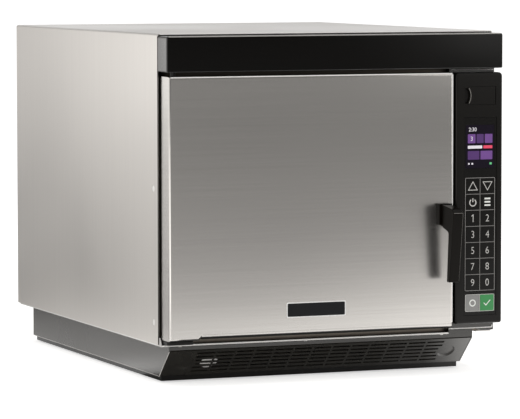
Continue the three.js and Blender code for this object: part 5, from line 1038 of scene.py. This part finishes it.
# Before it: what the door's left return shows low down
card("door_side_low", (-0.595, 0.50, CARD_FOOT), (0, 0.105, 0), (0, 0, 0.22), 2.0,
     [(UP, [(0.0, 1.5), (0.10, 1.42), (0.18, 1.15), (0.22, 0.95)])])
# On the floor at the left: the glow along the foot of the long side, stronger to the front
card("side_floor", (LEFT_X, -0.10, ON_FLOOR), (0.355, 0, 0), (0, 1.5, 0), 2.6,
     [(ACROSS, [(0.0, 0.38), (0.05, 0.46), (0.13, 0.62), (0.2, 0.60), (0.28, 0.64), (0.355, 0.7)]),
      (UP, [(0.0, 2.4), (0.08, 2.05), (0.14, 1.55), (0.22, 1.38), (0.35, 1.3), (0.6, 1.15), (0.85, 0.68),
            (1.5, 0.45)])])
# What the left end of the hood shows
card("hood_side", (-0.59, 0.50, 0.33), (0, 0.11, 0), (0, 0, 0.12), 3.0,
     [(UP, [(0.0, 1.7), (0.05, 1.75), (0.12, 2.2)])])
# Strip lights at the front left and at the right, for the rounded edges
card("edge_card", (-0.85, -1.60, CARD_FOOT), (0, 1.45, 0), (0, 0, 0.8), 2.2,
     [(UP, [(0.0, 1.35), (0.47, 1.5), (0.6, 0.9), (0.8, 0.8)])])
card("right_card", (0.90, -0.70, CARD_FOOT), (0, 1.9, 0), (0, 0, 0.8), 2.8,
     [(UP, [(0.0, 0.75), (0.15, 0.9), (0.3, 1.0), (0.8, 1.05)])])
# Under the sloped cover: dark at the left, open to the light at the right
card("under_card", (-0.32, -0.42, 0.002), (0.64, 0, 0), (0, 0.27, 0), 2.5,
     [(ACROSS, [(0.0, 0.05), (0.3, 0.09), (0.40, 0.13), (0.48, 0.35), (0.51, 1.0), (0.54, 1.9),
                (0.64, 2.2)])])
# High behind, for the thin dark line along the top bends
card("rear_dark", (3.0, 4.0, 1.9), (-6.0, 0, 0), (0, 0, 3.2), 2.0,
     [(UP, [(0.0, 0.6), (0.3, 0.2), (3.2, 0.2)])])

# Lamps and camera
LAMP_COLOR = (1, 0.985, 0.96)
AIM = Vector((0, 0, 0.2))


def lamp(name, place, width, height, power):
    """A soft lamp that looks at the middle of the oven and shows in no reflection."""
    data = bpy.data.lights.new(name, "AREA")
    data.shape = "RECTANGLE"
    data.size, data.size_y = width, height
    data.energy = power
    data.color = LAMP_COLOR
    obj = bpy.data.objects.new(name, data)
    SCENE.collection.objects.link(obj)
    obj.location = place
    obj.rotation_euler = (AIM - Vector(place)).to_track_quat("-Z", "Y").to_euler()
    obj.visible_glossy = False


lamp("key", (-2.2, -2.4, 2.2), 1.6, 1.6, 26)
lamp("fill", (2.6, -2.2, 1.2), 1.6, 1.2, 10)
lamp("top", (0.2, 0.4, 3.0), 2.2, 2.2, 22)

# The camera that the straight edges of the photograph give
FOCAL_PIXELS, PHOTO_PIXELS, SENSOR = 3421.0, 520, 36.0
YAW, PITCH, ROLL = 21.986, 4.332, -0.047
CAMERA_PLACE = (-1.8051, -4.4860, 0.5752)
camera_data = bpy.data.cameras.new("camera")
camera_data.sensor_fit = "HORIZONTAL"
camera_data.sensor_width = SENSOR
camera_data.lens = FOCAL_PIXELS / PHOTO_PIXELS * SENSOR
camera_data.clip_end = 300
camera = bpy.data.objects.new("camera", camera_data)
SCENE.collection.objects.link(camera)
turn = (
    Matrix.Rotation(math.radians(-YAW), 4, "Z")
    @ Matrix.Rotation(math.radians(90 - PITCH), 4, "X")
    @ Matrix.Rotation(math.radians(ROLL), 4, "Z")
)
camera.matrix_world = Matrix.Translation(CAMERA_PLACE) @ turn
SCENE.camera = camera
SCENE.view_settings.view_transform = "Standard"
